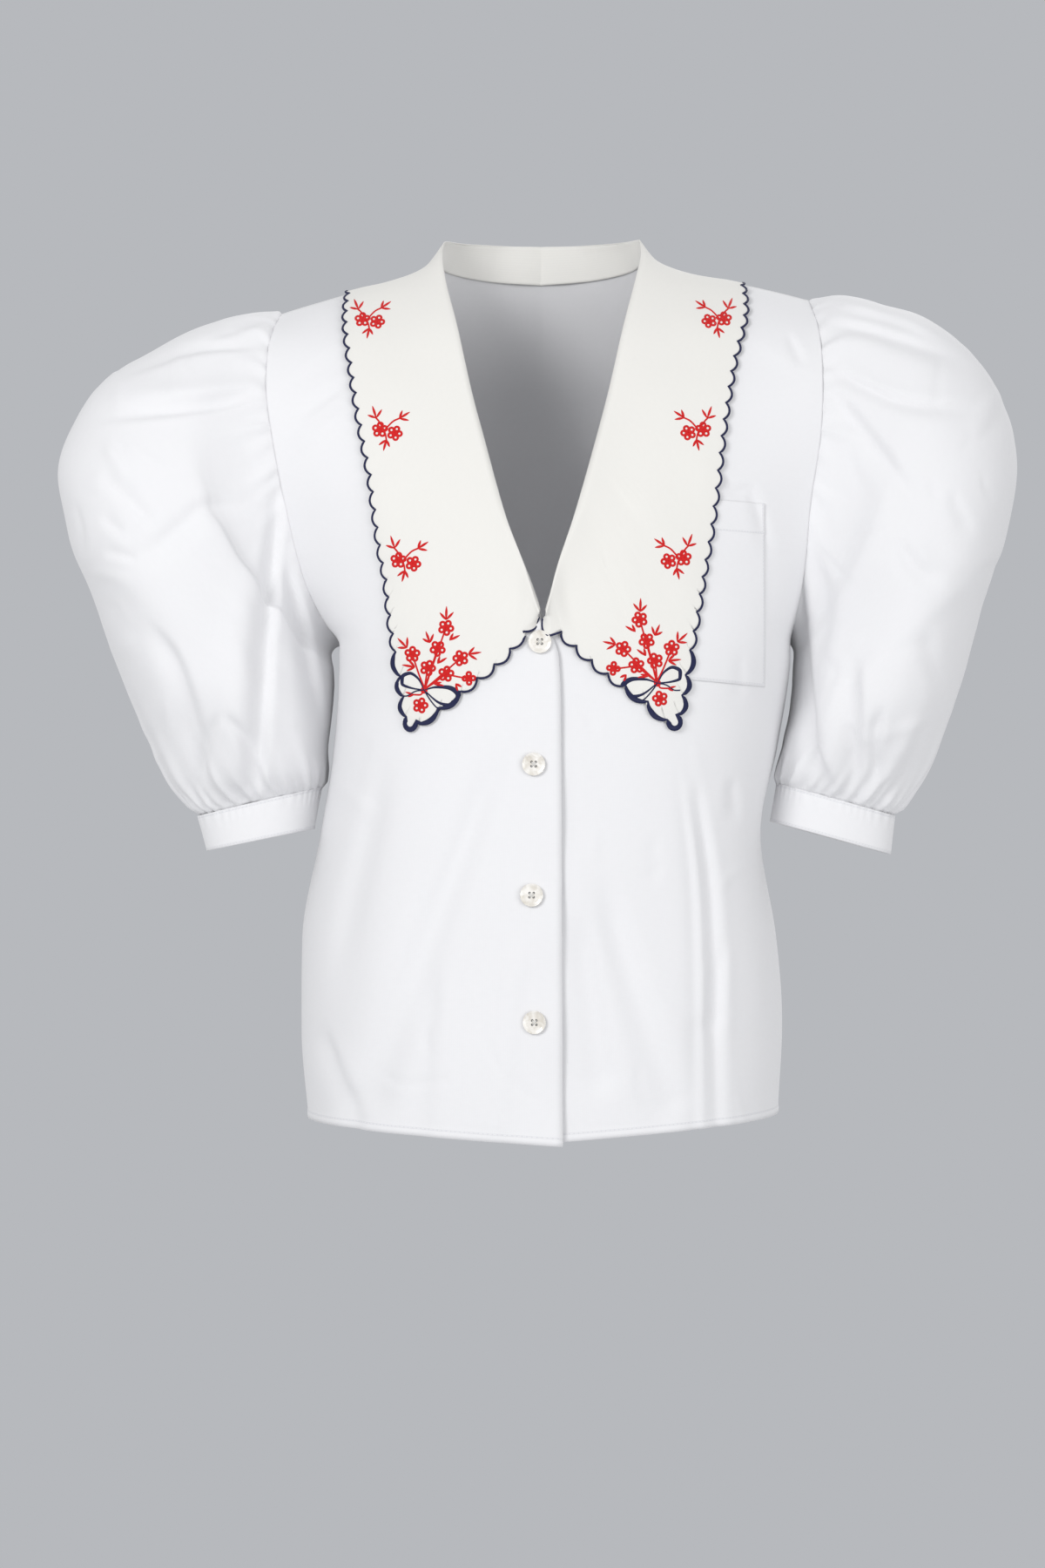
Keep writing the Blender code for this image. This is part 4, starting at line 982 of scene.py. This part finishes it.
neckSeamLeft = [
    (0.00, 0, 63.5, -5.8),
    (0.12, 38, 53, -3.8),
    (0.22, 62, 29, -1.0),
    (0.30, 68.5, 2, 1.2),
    (0.36, 68, -13, -5.5),
    (0.42, 63.8, -32, -26.5),
    (0.50, 58, -54, -59.5),
    (0.60, 49, -76, -103),
    (0.68, 41, -91, -134),
    (0.80, 22.5, -113, -187),
    (0.88, 11.5, -121.5, -215),
    (0.95, 4.7, -127.5, -238),
    (1.00, 2.4, -130.5, -246.5),
]
edgeRight = [
    (0.00, 0, 103, -74),
    (0.12, -40, 98, -73),
    (0.22, -78, 84, -68),
    (0.30, -107, 58, -57),
    (0.36, -125, 28, -38),
    (0.42, -131, 0, -21),
    (0.48, -132.5, -31, -43),
    (0.54, -127, -61, -84),
    (0.60, -119.5, -79, -126.5),
    (0.66, -113, -88, -158),
    (0.72, -106, -94, -202.5),
    (0.78, -100, -101, -237),
    (0.84, -96, -106, -274),
    (0.90, -89, -111, -325),
]
edgeLeft = [
    (0.00, 0, 103, -74),
    (0.12, 40, 98, -73),
    (0.22, 78, 84, -66),
    (0.30, 107, 58, -53),
    (0.36, 128, 28, -32),
    (0.42, 136, 0, -15),
    (0.48, 138, -31, -37),
    (0.54, 129, -61, -75),
    (0.60, 121.5, -79, -118),
    (0.66, 116, -87, -155),
    (0.72, 110, -94, -196),
    (0.78, 102, -101, -237),
    (0.84, 96, -106, -270),
    (0.90, 87, -111, -324),
]
hemRight = [
    (0.90, -89, -111, -325),
    (0.93, -66, -119, -308.5),
    (0.96, -41.5, -127, -289),
    (0.98, -23, -130, -273),
    (0.993, -8, -132, -254),
    (1.00, -2.6, -133.7, -249.3),
]
hemLeft = [
    (0.90, 87, -111, -324),
    (0.93, 68, -119, -305),
    (0.96, 42, -127, -286),
    (0.98, 25, -130, -271),
    (0.993, 8, -132, -255),
    (1.00, 3.0, -133.7, -249.3),
]


def lobePlaces(rows, ends, lobes, pitch):
    # Cusps on one side of the collar's point, the big lobes first and then even ones.
    fine = np.linspace(*ends, 1200)
    steps = np.linalg.norm(np.diff(through(rows, fine, 1.0), axis=0), axis=1)
    length = np.concatenate([[0], np.cumsum(steps)])
    first = np.cumsum(lobes)
    count = round((length[-1] - first[-1]) / pitch)
    at = np.concatenate([first, np.linspace(first[-1], length[-1], count + 1)[1:]])
    return np.interp(at, length, fine)


def collarHalf(roll, seam, edge, hem, shares):
    # One half without its lobes: its rows of points, each lobe's depth, the roll's row, each column's place.
    tip = edge[-1][0]
    bigSide, bigFront = collarSet["sideLobes"], collarSet["frontLobes"]
    alongSide = lobePlaces(edge, (tip, 0), bigSide, collarSet["sidePitch"])[::-1]
    alongFront = lobePlaces(hem, (tip, 1), bigFront, collarSet["frontPitch"])
    cusps = np.concatenate([alongSide, alongFront])
    depths = [collarSet["sideDepth"]] * (len(alongSide) - len(bigSide))
    depths += [collarSet["bigDepth"]] * (len(bigSide) - 1)
    depths += [collarSet["nubDepth"]]
    depths += [collarSet["bigDepth"]] * (len(bigFront) - 1)
    depths += [collarSet["frontDepth"]] * (len(alongFront) - len(bigFront))
    index = np.arange(len(depths) * collarSet["lobeSteps"] + 1) / collarSet["lobeSteps"]
    numbers = np.arange(len(cusps))
    places = np.interp(index, numbers, cusps)
    hung = through(hangsFrom, places, 1.0)[:, 0]
    rollLine, seamLine = through(roll, hung), through(seam, hung)
    # The rim runs straight from cusp to cusp, and each lobe swells out from that line later.
    rimCusps = np.where((cusps <= tip)[:, None], through(edge, cusps), through(hem, cusps))
    rim = np.stack([np.interp(index, numbers, values) for values in rimCusps.T], axis=-1)
    # The stand starts a little way down inside the neck edge.
    below = unit(seamLine - rollLine)
    rows = [seamLine + below * drop * mm for drop in collarSet["standDrops"]]
    for step in range(collarSet["standRows"]):
        share = step / collarSet["standRows"]
        bulge = np.array([0, 0, 0.8 * mm]) * math.sin(math.pi * share)
        rows.append(seamLine * (1 - share) + rollLine * share + bulge)
    start = len(rows)
    rows += [rollLine + (rim - rollLine) * share for share in shares]
    return np.array(rows), depths, start, places


def settle(grid, start, shares, places, tree, lift):
    # The leaf spans from roll to rim over the back and the shoulders, and lies on the panels in front.
    flat = smooth(0.44, 0.60, places)
    for row, share in zip(range(start, grid.shape[0]), shares):
        weights = smooth(0.3 - 0.3 * flat, 1.0 - 0.55 * flat, np.full(len(places), share))
        for column, weight in enumerate(weights):
            free = Vector(grid[row, column])
            place, normal, _, reach = tree.find_nearest(free)
            way = outward(normal, place)
            laid = free.lerp(place + way * lift, float(weight))
            high = (laid - place).dot(way)
            beside = reach > lift and abs((free - place).dot(way)) < 0.8 * reach
            if high < lift and not beside:
                laid += way * (lift - high)
            grid[row, column] = laid
    return grid


def softened(grid, start, passes):
    # Evens the leaf out square to its surface. The rim heeds only its own neighbours.
    for _ in range(passes):
        normal = gridNormals(grid)[start + 1 : -1, 1:-1]
        inner = grid[start + 1 : -1, 1:-1]
        upDown = grid[start:-2, 1:-1] + grid[start + 2 :, 1:-1]
        around = (upDown + grid[start + 1 : -1, :-2] + grid[start + 1 : -1, 2:]) / 4
        step = ((around - inner) * normal).sum(axis=-1, keepdims=True)
        grid[start + 1 : -1, 1:-1] = inner + normal * step * 0.7
        normal = gridNormals(grid)[-1, 1:-1]
        beside = (grid[-1, :-2] + grid[-1, 2:]) / 2
        step = ((beside - grid[-1, 1:-1]) * normal).sum(axis=-1, keepdims=True)
        grid[-1, 1:-1] += normal * step * 0.7
    return grid


def liftedOff(grid, start, tree, least):
    # Where evening out took the leaf too near the panels or just under their surface, it goes back out.
    for row in range(start, grid.shape[0]):
        for column in range(grid.shape[1]):
            spot = Vector(grid[row, column])
            place, normal, _, _ = tree.find_nearest(spot)
            way = outward(normal, place)
            lack = least - (spot - place).dot(way)
            if 0 < lack < 6 * mm:
                grid[row, column] = spot + way * lack
    return grid


leafShares = np.linspace(0, 0.84, collarSet["leafRows"])
leafShares = np.concatenate([leafShares, np.linspace(0.86, 1.0, collarSet["rimRows"])])
bodyTree = surfaceTree([frontRightGrid, frontLeftGrid, backPanelGrid, pocketGrid])
rightTables = (rollRight, neckSeamRight, edgeRight, hemRight)
leftTables = (rollLeft, neckSeamLeft, edgeLeft, hemLeft)
halves = []
for tables in (rightTables, leftTables):
    grid, depths, start, places = collarHalf(*tables, leafShares)
    grid = settle(grid, start, leafShares, places, bodyTree, collarSet["lift"] * mm)
    halves.append((grid, depths))
(rightHalf, rightDepths), (leftHalf, leftDepths) = halves
collarGrid = np.concatenate([rightHalf[:, ::-1], leftHalf[:, 1:]], axis=1)
lobeDepths = np.array(rightDepths[::-1] + leftDepths)
firstPasses, lastPasses = collarSet["passes"]
collarGrid = softened(collarGrid, start - 6, firstPasses)
collarGrid = liftedOff(collarGrid, start + 6, bodyTree, collarSet["leastLift"] * mm)
collarGrid = softened(collarGrid, start - 6, lastPasses)
# The two ends at the neckline's point run straight from roll to rim
spots = np.arange(collarGrid.shape[1])
fromEnd = np.minimum(spots, spots[-1] - spots) / collarSet["lobeSteps"]
endWeight = smooth(2.6, 1.2, fromEnd)[None, :, None]
straight = collarGrid[start] + (collarGrid[-1] - collarGrid[start]) * leafShares[:, None, None]
collarGrid[start:] = collarGrid[start:] * (1 - endWeight) + straight * endWeight
# The leaf's outer face looks away from a spot inside the shirt
collarOut = collarGrid - np.array([0, 0, -0.15])
collarOut[:start] = 0

# Each lobe swells square to the line between its two cusps
steps = collarSet["lobeSteps"]
lobeNumber = np.minimum(spots // steps, len(lobeDepths) - 1)
lobeShare = spots / steps - lobeNumber
chord = collarGrid[-1][(lobeNumber + 1) * steps] - collarGrid[-1][lobeNumber * steps]
neck = np.linalg.norm(chord, axis=-1) / mm
chord = unit(chord)
fall = collarGrid[-1] - collarGrid[-6]
lobeOut = unit(fall - chord * (fall * chord).sum(axis=-1, keepdims=True))
lobe = np.abs(np.sin(math.pi * lobeShare)) ** 0.75
lobeMove = lobeOut * (lobeDepths[lobeNumber] * lobe * mm)[:, None]
# The lobe on each point is a bulb, wider than its neck
isNub = lobeDepths[lobeNumber] == collarSet["nubDepth"]
bulb = collarSet["nubRadius"]
spread = math.pi / 2 + np.arccos(np.clip(neck / 2 / bulb, 0, 1))
angle = (lobeShare * 2 - 1) * spread
sideways = bulb * np.sin(angle) - (lobeShare - 0.5) * neck
outwards = bulb * (np.cos(angle) - np.cos(spread))
bulbMove = (chord * sideways[:, None] + lobeOut * outwards[:, None]) * mm
lobeMove = np.where(isNub[:, None], bulbMove, lobeMove)
collarGrid[start:] += lobeMove * smooth(0.86, 1.0, leafShares)[:, None, None]

# A slight wave over the leaf
x, z = seen(collarGrid)
dip = np.maximum(swell(x, z, 12, 60, collarSet["wave"]), -collarSet["deepestDip"] * mm)
leafWeight = np.concatenate([np.zeros(start), smooth(0.1, 0.4, leafShares)])[:, None]
collarGrid = collarGrid + outNormals(collarGrid, collarOut) * (dip * leafWeight)[..., None]
collar = clothShell("collar_cloth", collarGrid, collarSet["wall"], collarOut)
unstitched(collar, collarGrid)
finished(collar, collarCotton, "collar")
areas["collar"] = clothArea(collarGrid)
print("collar made")

# Navy satin stitch round the scalloped edge, thin on the small lobes and thicker on the big ones
edgingSet = {"thin": 1.6, "more": 2.3, "atNub": 0.9, "over": 0.6, "raise": 0.4, "height": 0.85, "sides": 10}


def capEnds(piece):
    bm = bmesh.new()
    bm.from_mesh(piece.data)
    bmesh.ops.holes_fill(bm, edges=[edge for edge in bm.edges if edge.is_boundary], sides=12)
    bmesh.ops.recalc_face_normals(bm, faces=bm.faces)
    for face in bm.faces:
        face.smooth = True
    bm.to_mesh(piece.data)
    bm.free()


rim, rimNormal = collarGrid[-1], outNormals(collarGrid, collarOut)[-10]
rimOut = unit(np.cross(unit(np.gradient(rim, axis=0)), rimNormal))
rimOut = rimOut * np.sign((rimOut * lobeOut).sum())
big = np.interp(lobeDepths[lobeNumber], (collarSet["frontDepth"], collarSet["bigDepth"]), (0, 1))
full = np.where(isNub, edgingSet["atNub"], lobe)
half = (edgingSet["thin"] + edgingSet["more"] * big * full) / 2 * mm
centreLine = rim - rimOut * (half - edgingSet["over"] * mm)[:, None] + rimNormal * edgingSet["raise"] * mm
sides = edgingSet["sides"]
rings = []
for turn in np.arange(sides) / sides * 2 * math.pi:
    sideways = rimOut * (half * math.cos(turn))[:, None]
    rings.append(centreLine + sideways + rimNormal * edgingSet["height"] * mm * math.sin(turn))
edgingPoints = np.stack(rings, axis=1).reshape(-1, 3)
edging = meshFrom("collar_edging", edgingPoints, gridFaces(len(rim), sides, True))
runs = np.concatenate([[0], np.cumsum(np.linalg.norm(np.diff(rim, axis=0), axis=1))]) / mm
setAttribute(edging, "stitchRun", np.repeat(runs, sides))
capEnds(edging)
finished(edging, navyThread)
print("edging made")

# Embroidery: sprigs, and a bouquet tied with a bow at each point. Lengths in mm, turns in degrees.
# A motif is a list of lines, each its points (x, z), its widths and whether it closes on itself.
threadSet = {
    "rise": 0.35,
    "bowRise": 0.42,
    "under": 0.05,
    "fullWidth": 0.7,
    "stem": 1.25,
    "leaf": 1.7,
    "petal": 1.75,
    "middle": 1.7,
    "profile": ((-1.0, 0.0), (-0.8, 0.55), (-0.3, 0.95), (0.3, 0.95), (0.8, 0.55), (1.0, 0.0)),
}


def onCollar(tree, x, z):
    # The collar's face behind a spot seen from the front, or the nearest of it where there is none.
    place, normal, _, _ = tree.ray_cast(Vector((x * mm, -1, z * mm)), Vector((0, 1, 0)))
    if place is None:
        place, normal, _, _ = tree.find_nearest(Vector((x * mm, -0.11, z * mm)))
    return place, normal if normal.y < 0 else -normal


def strokes(name, lines, tree, rise):
    # Raised satin stitches laid on the collar.
    profile = threadSet["profile"]
    points, faces, alongs = [], [], []
    for line, widths, closed in lines:
        line = np.asarray(line, float)
        ahead = np.roll(line, -1, axis=0) - np.roll(line, 1, axis=0)
        if not closed:
            ahead[0], ahead[-1] = line[1] - line[0], line[-1] - line[-2]
        ahead = unit(ahead)
        sideways = np.stack([ahead[:, 1], -ahead[:, 0]], axis=-1)
        runs = np.concatenate([[0], np.cumsum(np.linalg.norm(np.diff(line, axis=0), axis=1))])
        base = len(points)
        for spot, across, wide, run in zip(line, sideways, widths, runs):
            top = min(1.0, wide / threadSet["fullWidth"])
            for offset, high in profile:
                place, normal = onCollar(tree, *(spot + across * offset * wide / 2))
                points.append(place + normal * (high * rise * top - threadSet["under"]) * mm)
                alongs.append(run)
        ring, total = len(profile), len(line)
        for index in range(total if closed else total - 1):
            low, high = base + index * ring, base + ((index + 1) % total) * ring
            for step in range(ring):
                after = (step + 1) % ring
                faces.append((low + step, low + after, high + after, high + step))
    made = meshFrom(name, np.array([tuple(point) for point in points]), np.array(faces))
    setAttribute(made, "stitchRun", alongs)
    capEnds(made)
    return made


def moved(motif, place, flip):
    # A motif turned and set down at a place (x, z, turn), and mirrored where flip is -1.
    placeX, placeZ, angle = place
    cos, sin = math.cos(math.radians(angle)), math.sin(math.radians(angle))
    result = []
    for line, widths, closed in motif:
        points = [(placeX + x * flip * cos - z * sin, placeZ + x * flip * sin + z * cos) for x, z in line]
        result.append((points, widths, closed))
    return result


def stem(*points):
    return curveThrough(points, 12), np.full(12, threadSet["stem"]), False


def leafShape(start, angle, length, width):
    turn = math.radians(angle)
    reach = length * np.linspace(0, 1, 9)
    line = np.stack([start[0] + np.sin(turn) * reach, start[1] + np.cos(turn) * reach], axis=-1)
    swelling = np.sin(math.pi * np.linspace(0.02, 0.98, 9)) ** 0.8
    return line, width * swelling + 0.12, False


def twig(start, angles, length, width=threadSet["leaf"]):
    # Two or three leaves from one spot.
    lengths = (length * 0.85, length * 1.2, length * 0.95)
    return [leafShape(start, angle, long, width) for angle, long in zip(angles, lengths)]


def blossom(centreX, centreZ, size, angle, petals=5):
    # Round petals drawn as thick rings round a solid middle.
    turns = np.linspace(0, 2 * math.pi, 13)[:-1]
    lines = []
    for petal in range(petals):
        turn = math.radians(angle + petal * 360 / petals)
        x, z = centreX + math.sin(turn) * size * 0.60, centreZ + math.cos(turn) * size * 0.60
        ring = [(x + math.sin(a) * size * 0.30, z + math.cos(a) * size * 0.30) for a in turns]
        lines.append((ring, np.full(12, threadSet["petal"]), True))
    middle = [(centreX + math.sin(a) * 0.8, centreZ + math.cos(a) * 0.8) for a in turns]
    lines.append((middle, np.full(12, threadSet["middle"]), True))
    return lines


def knotRing(radius):
    turns = np.linspace(0, 2 * math.pi, 15)[:-1]
    return [(math.cos(a) * radius, math.sin(a) * radius) for a in turns], np.full(14, 1.6), True


sprig = [
    stem((-0.5, -8.5), (-1.2, -3.0), (-4.5, 4.5), (-7.0, 8.0)),
    stem((-1.5, -1.5), (4.5, 4.0), (9.5, 6.0)),
]
sprigTwigs = [
    ((-6.4, 7.4), (-66, -14, 36), 7.4),
    ((9.0, 5.8), (24, 62, 106), 7.0),
    ((-0.5, -8.0), (160, 198, 238), 6.6),
]
for start, angles, length in sprigTwigs:
    sprig += twig(start, angles, length)
sprig += blossom(-4.4, -0.8, 5.4, 8) + blossom(5.4, -4.0, 5.2, 30)

# Flower heads of the bouquet: x, z, turn
heads = [
    (-7.0, 24.0, 5),
    (3.0, 14.5, 24),
    (10.0, 27.0, 40),
    (15.0, 10.0, 12),
    (25.0, 20.0, 55),
    (16.0, 40.5, 30),
]
bouquetTwigs = [
    ((-10.4, 28.4), (-86, -42, 4), 7.6),
    ((16.2, 45.6), (-38, 4, 46), 7.6),
    ((30.0, 22.4), (44, 84, 124), 7.4),
    ((5.0, 31.0), (-58, -18, 24), 6.8),
    ((-5.5, 15.5), (-112, -78, -40), 7.4),
    ((18.0, 32.0), (30, 66), 6.4),
    ((9.5, 17.0), (20, 60), 6.2),
    ((21.0, 3.4), (120, 168), 5.6),
    ((6.0, 4.0), (84, 104), 7.0),
]
bouquet = [stem((0.6, 0.8), (x * 0.42, z * 0.42), (x, z)) for x, z, _ in heads]
bouquet.append(stem((15.0, 10.0), (22.0, 8.0), (29.0, 6.5)))
for x, z, angle in heads:
    bouquet += blossom(x, z, 5.3, angle)
bouquet += blossom(30.0, 6.5, 4.6, 90, 4)
for start, angles, length in bouquetTwigs:
    bouquet += twig(start, angles, length)
bouquet += blossom(-2.8, -10.0, 5.2, 20)
bouquet.append(stem((-0.4, -1.0), (-3.0, -3.0), (-8.0, -2.6)))
bouquet += twig((-7.0, -2.7), (-108, -70), 5.0, 1.4)
bouquet += [knotRing(0.6), knotRing(1.7)]

# The bow's two loops, each with how much it swells, and its two ends
bowLoops = [
    ([(0, 0), (-3.4, 7.4), (-9.2, 11.6), (-14.2, 9.6), (-14.6, 5.0), (-8.6, 1.8), (0, 0)], 1.7),
    ([(0, 0), (8.0, 1.6), (17.0, 0.8), (22.6, -4.4), (18.8, -10.8), (9.4, -8.6), (0, 0)], 2.8),
]
bowEnds = [
    [(0, 0), (-6.0, -0.6), (-12.0, -3.4), (-15.5, -3.0)],
    [(0, 0), (3.4, -6.0), (7.6, -11.5), (11.5, -13.5)],
]
fat = np.sin(math.pi * np.linspace(0, 1, 48)) ** 2
bow = [(curveThrough(points, 48), 1.0 + swelling * fat, False) for points, swelling in bowLoops]
bow += [(curveThrough(points, 24), np.full(24, 1.0), False) for points in bowEnds]

# Where each motif is set down: x, z, turn
layout = {
    "right": {
        "flip": 1,
        "sprigs": [(-117.5, -43.0, 8), (-104.0, -122.0, 4), (-91.0, -210.5, 4)],
        "bow": (-78.0, -298.0, 2),
    },
    "left": {
        "flip": -1,
        "sprigs": [(119.5, -43.0, -8), (103.5, -122.0, -6), (89.5, -209.0, -6)],
        "bow": (76.0, -293.5, -6),
    },
}
collarTree = surfaceTree([collarGrid + outNormals(collarGrid, collarOut) * (collarSet["wall"] / 2 * mm)])
for side, plan in layout.items():
    red = []
    for place in plan["sprigs"]:
        red += moved(sprig, place, plan["flip"])
    red += moved(bouquet, plan["bow"], plan["flip"])
    finished(strokes("embroidery_" + side, red, collarTree, threadSet["rise"]), redThread)
    navy = moved(bow, plan["bow"], plan["flip"])
    finished(strokes("bow_" + side, navy, collarTree, threadSet["bowRise"]), navyThread)
print("embroidery made")

# Buttons: discs of shell with a rim round a dish and four holes, sewn on with two crossed threads.
# steps are how far the top face goes in and down, twice.
buttonSet = {
    "places": ((-1.5, -266.5), (-5.6, -347.0), (-6.8, -433.0), (-5.0, -516.5)),
    "radius": 7.6,
    "height": 2.3,
    "steps": ((1.5, 0.75), (0.7, 0.12)),
    "rounding": 0.45,
    "hole": 0.9,
    "spread": 1.9,
    "thread": 0.42,
    "threadDown": 0.75,
    "lift": 0.95,
}


def cylinder(vertices, radius, depth, place, turn=(0, 0, 0)):
    bpy.ops.mesh.primitive_cylinder_add(
        vertices=vertices, radius=radius, depth=depth, location=place, rotation=turn
    )
    return bpy.context.active_object


def onlySelected(pieces):
    bpy.ops.object.select_all(action="DESELECT")
    for piece in pieces:
        piece.select_set(True)
    bpy.context.view_layer.objects.active = pieces[-1]


def buttonDisc(name, height):
    bpy.ops.object.select_all(action="DESELECT")
    disc = cylinder(72, buttonSet["radius"] * mm, height, (0, 0, height / 2))
    disc.name = name
    disc.data.name = name
    bpy.ops.object.transform_apply(location=True, rotation=True, scale=True)
    bpy.ops.object.mode_set(mode="EDIT")
    bm = bmesh.from_edit_mesh(disc.data)
    for face in bm.faces:
        face.select = face.calc_center_median().z > height * 0.9
    bmesh.update_edit_mesh(disc.data)
    for inward, down in buttonSet["steps"]:
        bpy.ops.mesh.inset(thickness=inward * mm)
        bpy.ops.transform.translate(value=(0, 0, -down * mm))
    bpy.ops.object.mode_set(mode="OBJECT")
    bevel = disc.modifiers.new("rounding", "BEVEL")
    bevel.width = buttonSet["rounding"] * mm
    bevel.segments = 3
    bevel.limit_method = "ANGLE"
    bevel.angle_limit = math.radians(25)
    bpy.ops.object.modifier_apply(modifier=bevel.name)
    return disc


def drill(disc, height):
    spread = buttonSet["spread"] * mm
    for turn in (45, 135, 225, 315):
        spot = (spread * math.cos(math.radians(turn)), spread * math.sin(math.radians(turn)), height / 2)
        cutter = cylinder(20, buttonSet["hole"] * mm, height * 3, spot)
        cut = disc.modifiers.new("hole", "BOOLEAN")
        cut.operation = "DIFFERENCE"
        cut.object = cutter
        cut.solver = "EXACT"
        bpy.context.view_layer.objects.active = disc
        bpy.ops.object.modifier_apply(modifier=cut.name)
        bpy.data.objects.remove(cutter, do_unlink=True)


def threadBars(height):
    # Two crossed bars over the holes, in the second of the button's materials.
    length = 2 * buttonSet["spread"] * mm
    spot = (0, 0, height - buttonSet["threadDown"] * mm)
    bars = []
    for turn in (45, 135):
        way = (math.pi / 2, 0, math.radians(turn) + math.pi / 2)
        bar = cylinder(12, buttonSet["thread"] * mm, length, spot, way)
        bar.data.materials.append(pearl)
        bar.data.materials.append(whiteThread)
        for face in bar.data.polygons:
            face.material_index = 1
            face.use_smooth = True
        bars.append(bar)
    return bars


rightTree = surfaceTree([frontRightGrid])
for number, (x, z) in enumerate(buttonSet["places"], start=1):
    height = buttonSet["height"] * mm
    button = buttonDisc(f"button_{number}_pearl", height)
    drill(button, height)
    for face in button.data.polygons:
        face.use_smooth = True
    onlySelected([button])
    bpy.ops.object.shade_smooth_by_angle(angle=math.radians(32))
    button.data.materials.append(pearl)
    button.data.materials.append(whiteThread)
    onlySelected(threadBars(height) + [button])
    bpy.ops.object.join()
    place, normal, _, _ = rightTree.ray_cast(Vector((x * mm, -1, z * mm)), Vector((0, 1, 0)))
    way = outward(normal, place)
    spin = way.to_track_quat("Z", "Y").to_matrix().to_4x4()
    spin.translation = place + way * buttonSet["lift"] * mm
    button.data.transform(spin)
    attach(button, "root")
    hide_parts(f"button_{number}")
print("buttons made")

# What each piece was cut from: its flat box in metres, its cloth in square metres and what holds it
cuts = {
    "front_right": ((0.29, 0.62), 0.122, "hung", ()),
    "front_left": ((0.29, 0.62), 0.125, "hung", ()),
    "back": ((0.50, 0.61), 0.252, "hung", ()),
    "sleeve_right": ((0.50, 0.44), 0.160, "gathered", ("front_right", "back")),
    "sleeve_left": ((0.50, 0.44), 0.155, "gathered", ("front_left", "back")),
    "cuff_right": ((0.240, 0.025), 0.0060, "hung", ("sleeve_right",)),
    "cuff_left": ((0.240, 0.025), 0.0060, "hung", ("sleeve_left",)),
    "collar": ((0.50, 0.40), 0.095, "draped", ("front_right", "front_left", "back")),
    "chest_pocket": ((0.101, 0.126), 0.0127, "laid", ("front_left",)),
}
for name, (flat, area, held, rests) in cuts.items():
    print(name, "cloth area", round(areas[name], 4))

# Floor, sky, lights and camera. seenSky is what the camera sees, sky is what lights the shirt.
studio = {
    "floor": (0.62, 0.63, 0.65, 1),
    "floorZ": -1.45,
    "floorRadius": 1.1,
    "sky": (0.88, 0.885, 0.90, 1),
    "skyStrength": 0.65,
    "seenSky": (0.473, 0.485, 0.509, 1),
    "aim": (0, 0, -0.3),
    "sensor": 36,
    "halfWidth": 0.54,
}
floorMaterial, _, shader = newMaterial("paleFloor")
shader.inputs["Base Color"].default_value = studio["floor"]
bpy.ops.mesh.primitive_circle_add(
    vertices=96, radius=studio["floorRadius"], fill_type="NGON", location=(0, 0, studio["floorZ"])
)
floor = bpy.context.active_object
floor.name = "floor"
floor.data.materials.append(floorMaterial)
floor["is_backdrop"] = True

world = bpy.data.worlds.new("studio")
bpy.context.scene.world = world
world.use_nodes = True
tree = world.node_tree
sky = tree.nodes["Background"]
sky.inputs["Color"].default_value = studio["sky"]
sky.inputs["Strength"].default_value = studio["skyStrength"]
seenSky = node(tree, "ShaderNodeBackground", Strength=1.0)
seenSky.inputs["Color"].default_value = studio["seenSky"]
path = node(tree, "ShaderNodeLightPath")
blend = node(tree, "ShaderNodeMixShader")
tree.links.new(path.outputs["Is Camera Ray"], blend.inputs["Fac"])
tree.links.new(sky.outputs["Background"], blend.inputs[1])
tree.links.new(seenSky.outputs["Background"], blend.inputs[2])
tree.links.new(blend.outputs["Shader"], tree.nodes["World Output"].inputs["Surface"])

lights = {
    "key": {"at": (-1.5, -2.3, 0.55), "size": 1.0, "power": 35},
    "fill": {"at": (1.7, -2.2, -0.3), "size": 1.8, "power": 23},
    "back": {"at": (0.8, 1.8, 1.4), "size": 1.5, "power": 16},
}
for name, plan in lights.items():
    data = bpy.data.lights.new(name, "AREA")
    data.size, data.energy = plan["size"], plan["power"]
    lamp = bpy.data.objects.new(name, data)
    lamp.location = plan["at"]
    lamp.rotation_mode = "QUATERNION"
    aim = Vector(studio["aim"]) - Vector(plan["at"])
    lamp.rotation_quaternion = aim.to_track_quat("-Z", "Y")
    bpy.context.scene.collection.objects.link(lamp)

camera = bpy.data.cameras.new("camera")
camera.sensor_width = studio["sensor"]
camera.lens = studio["sensor"] / 2 / (studio["halfWidth"] / viewAway)
eye = bpy.data.objects.new("camera", camera)
eye.location = (viewX, -viewAway, viewZ)
eye.rotation_euler = (math.pi / 2, 0, 0)
bpy.context.scene.collection.objects.link(eye)
bpy.context.scene.camera = eye
bpy.context.scene.view_settings.view_transform = "Standard"
print("floor, lights and camera made")

low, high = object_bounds()
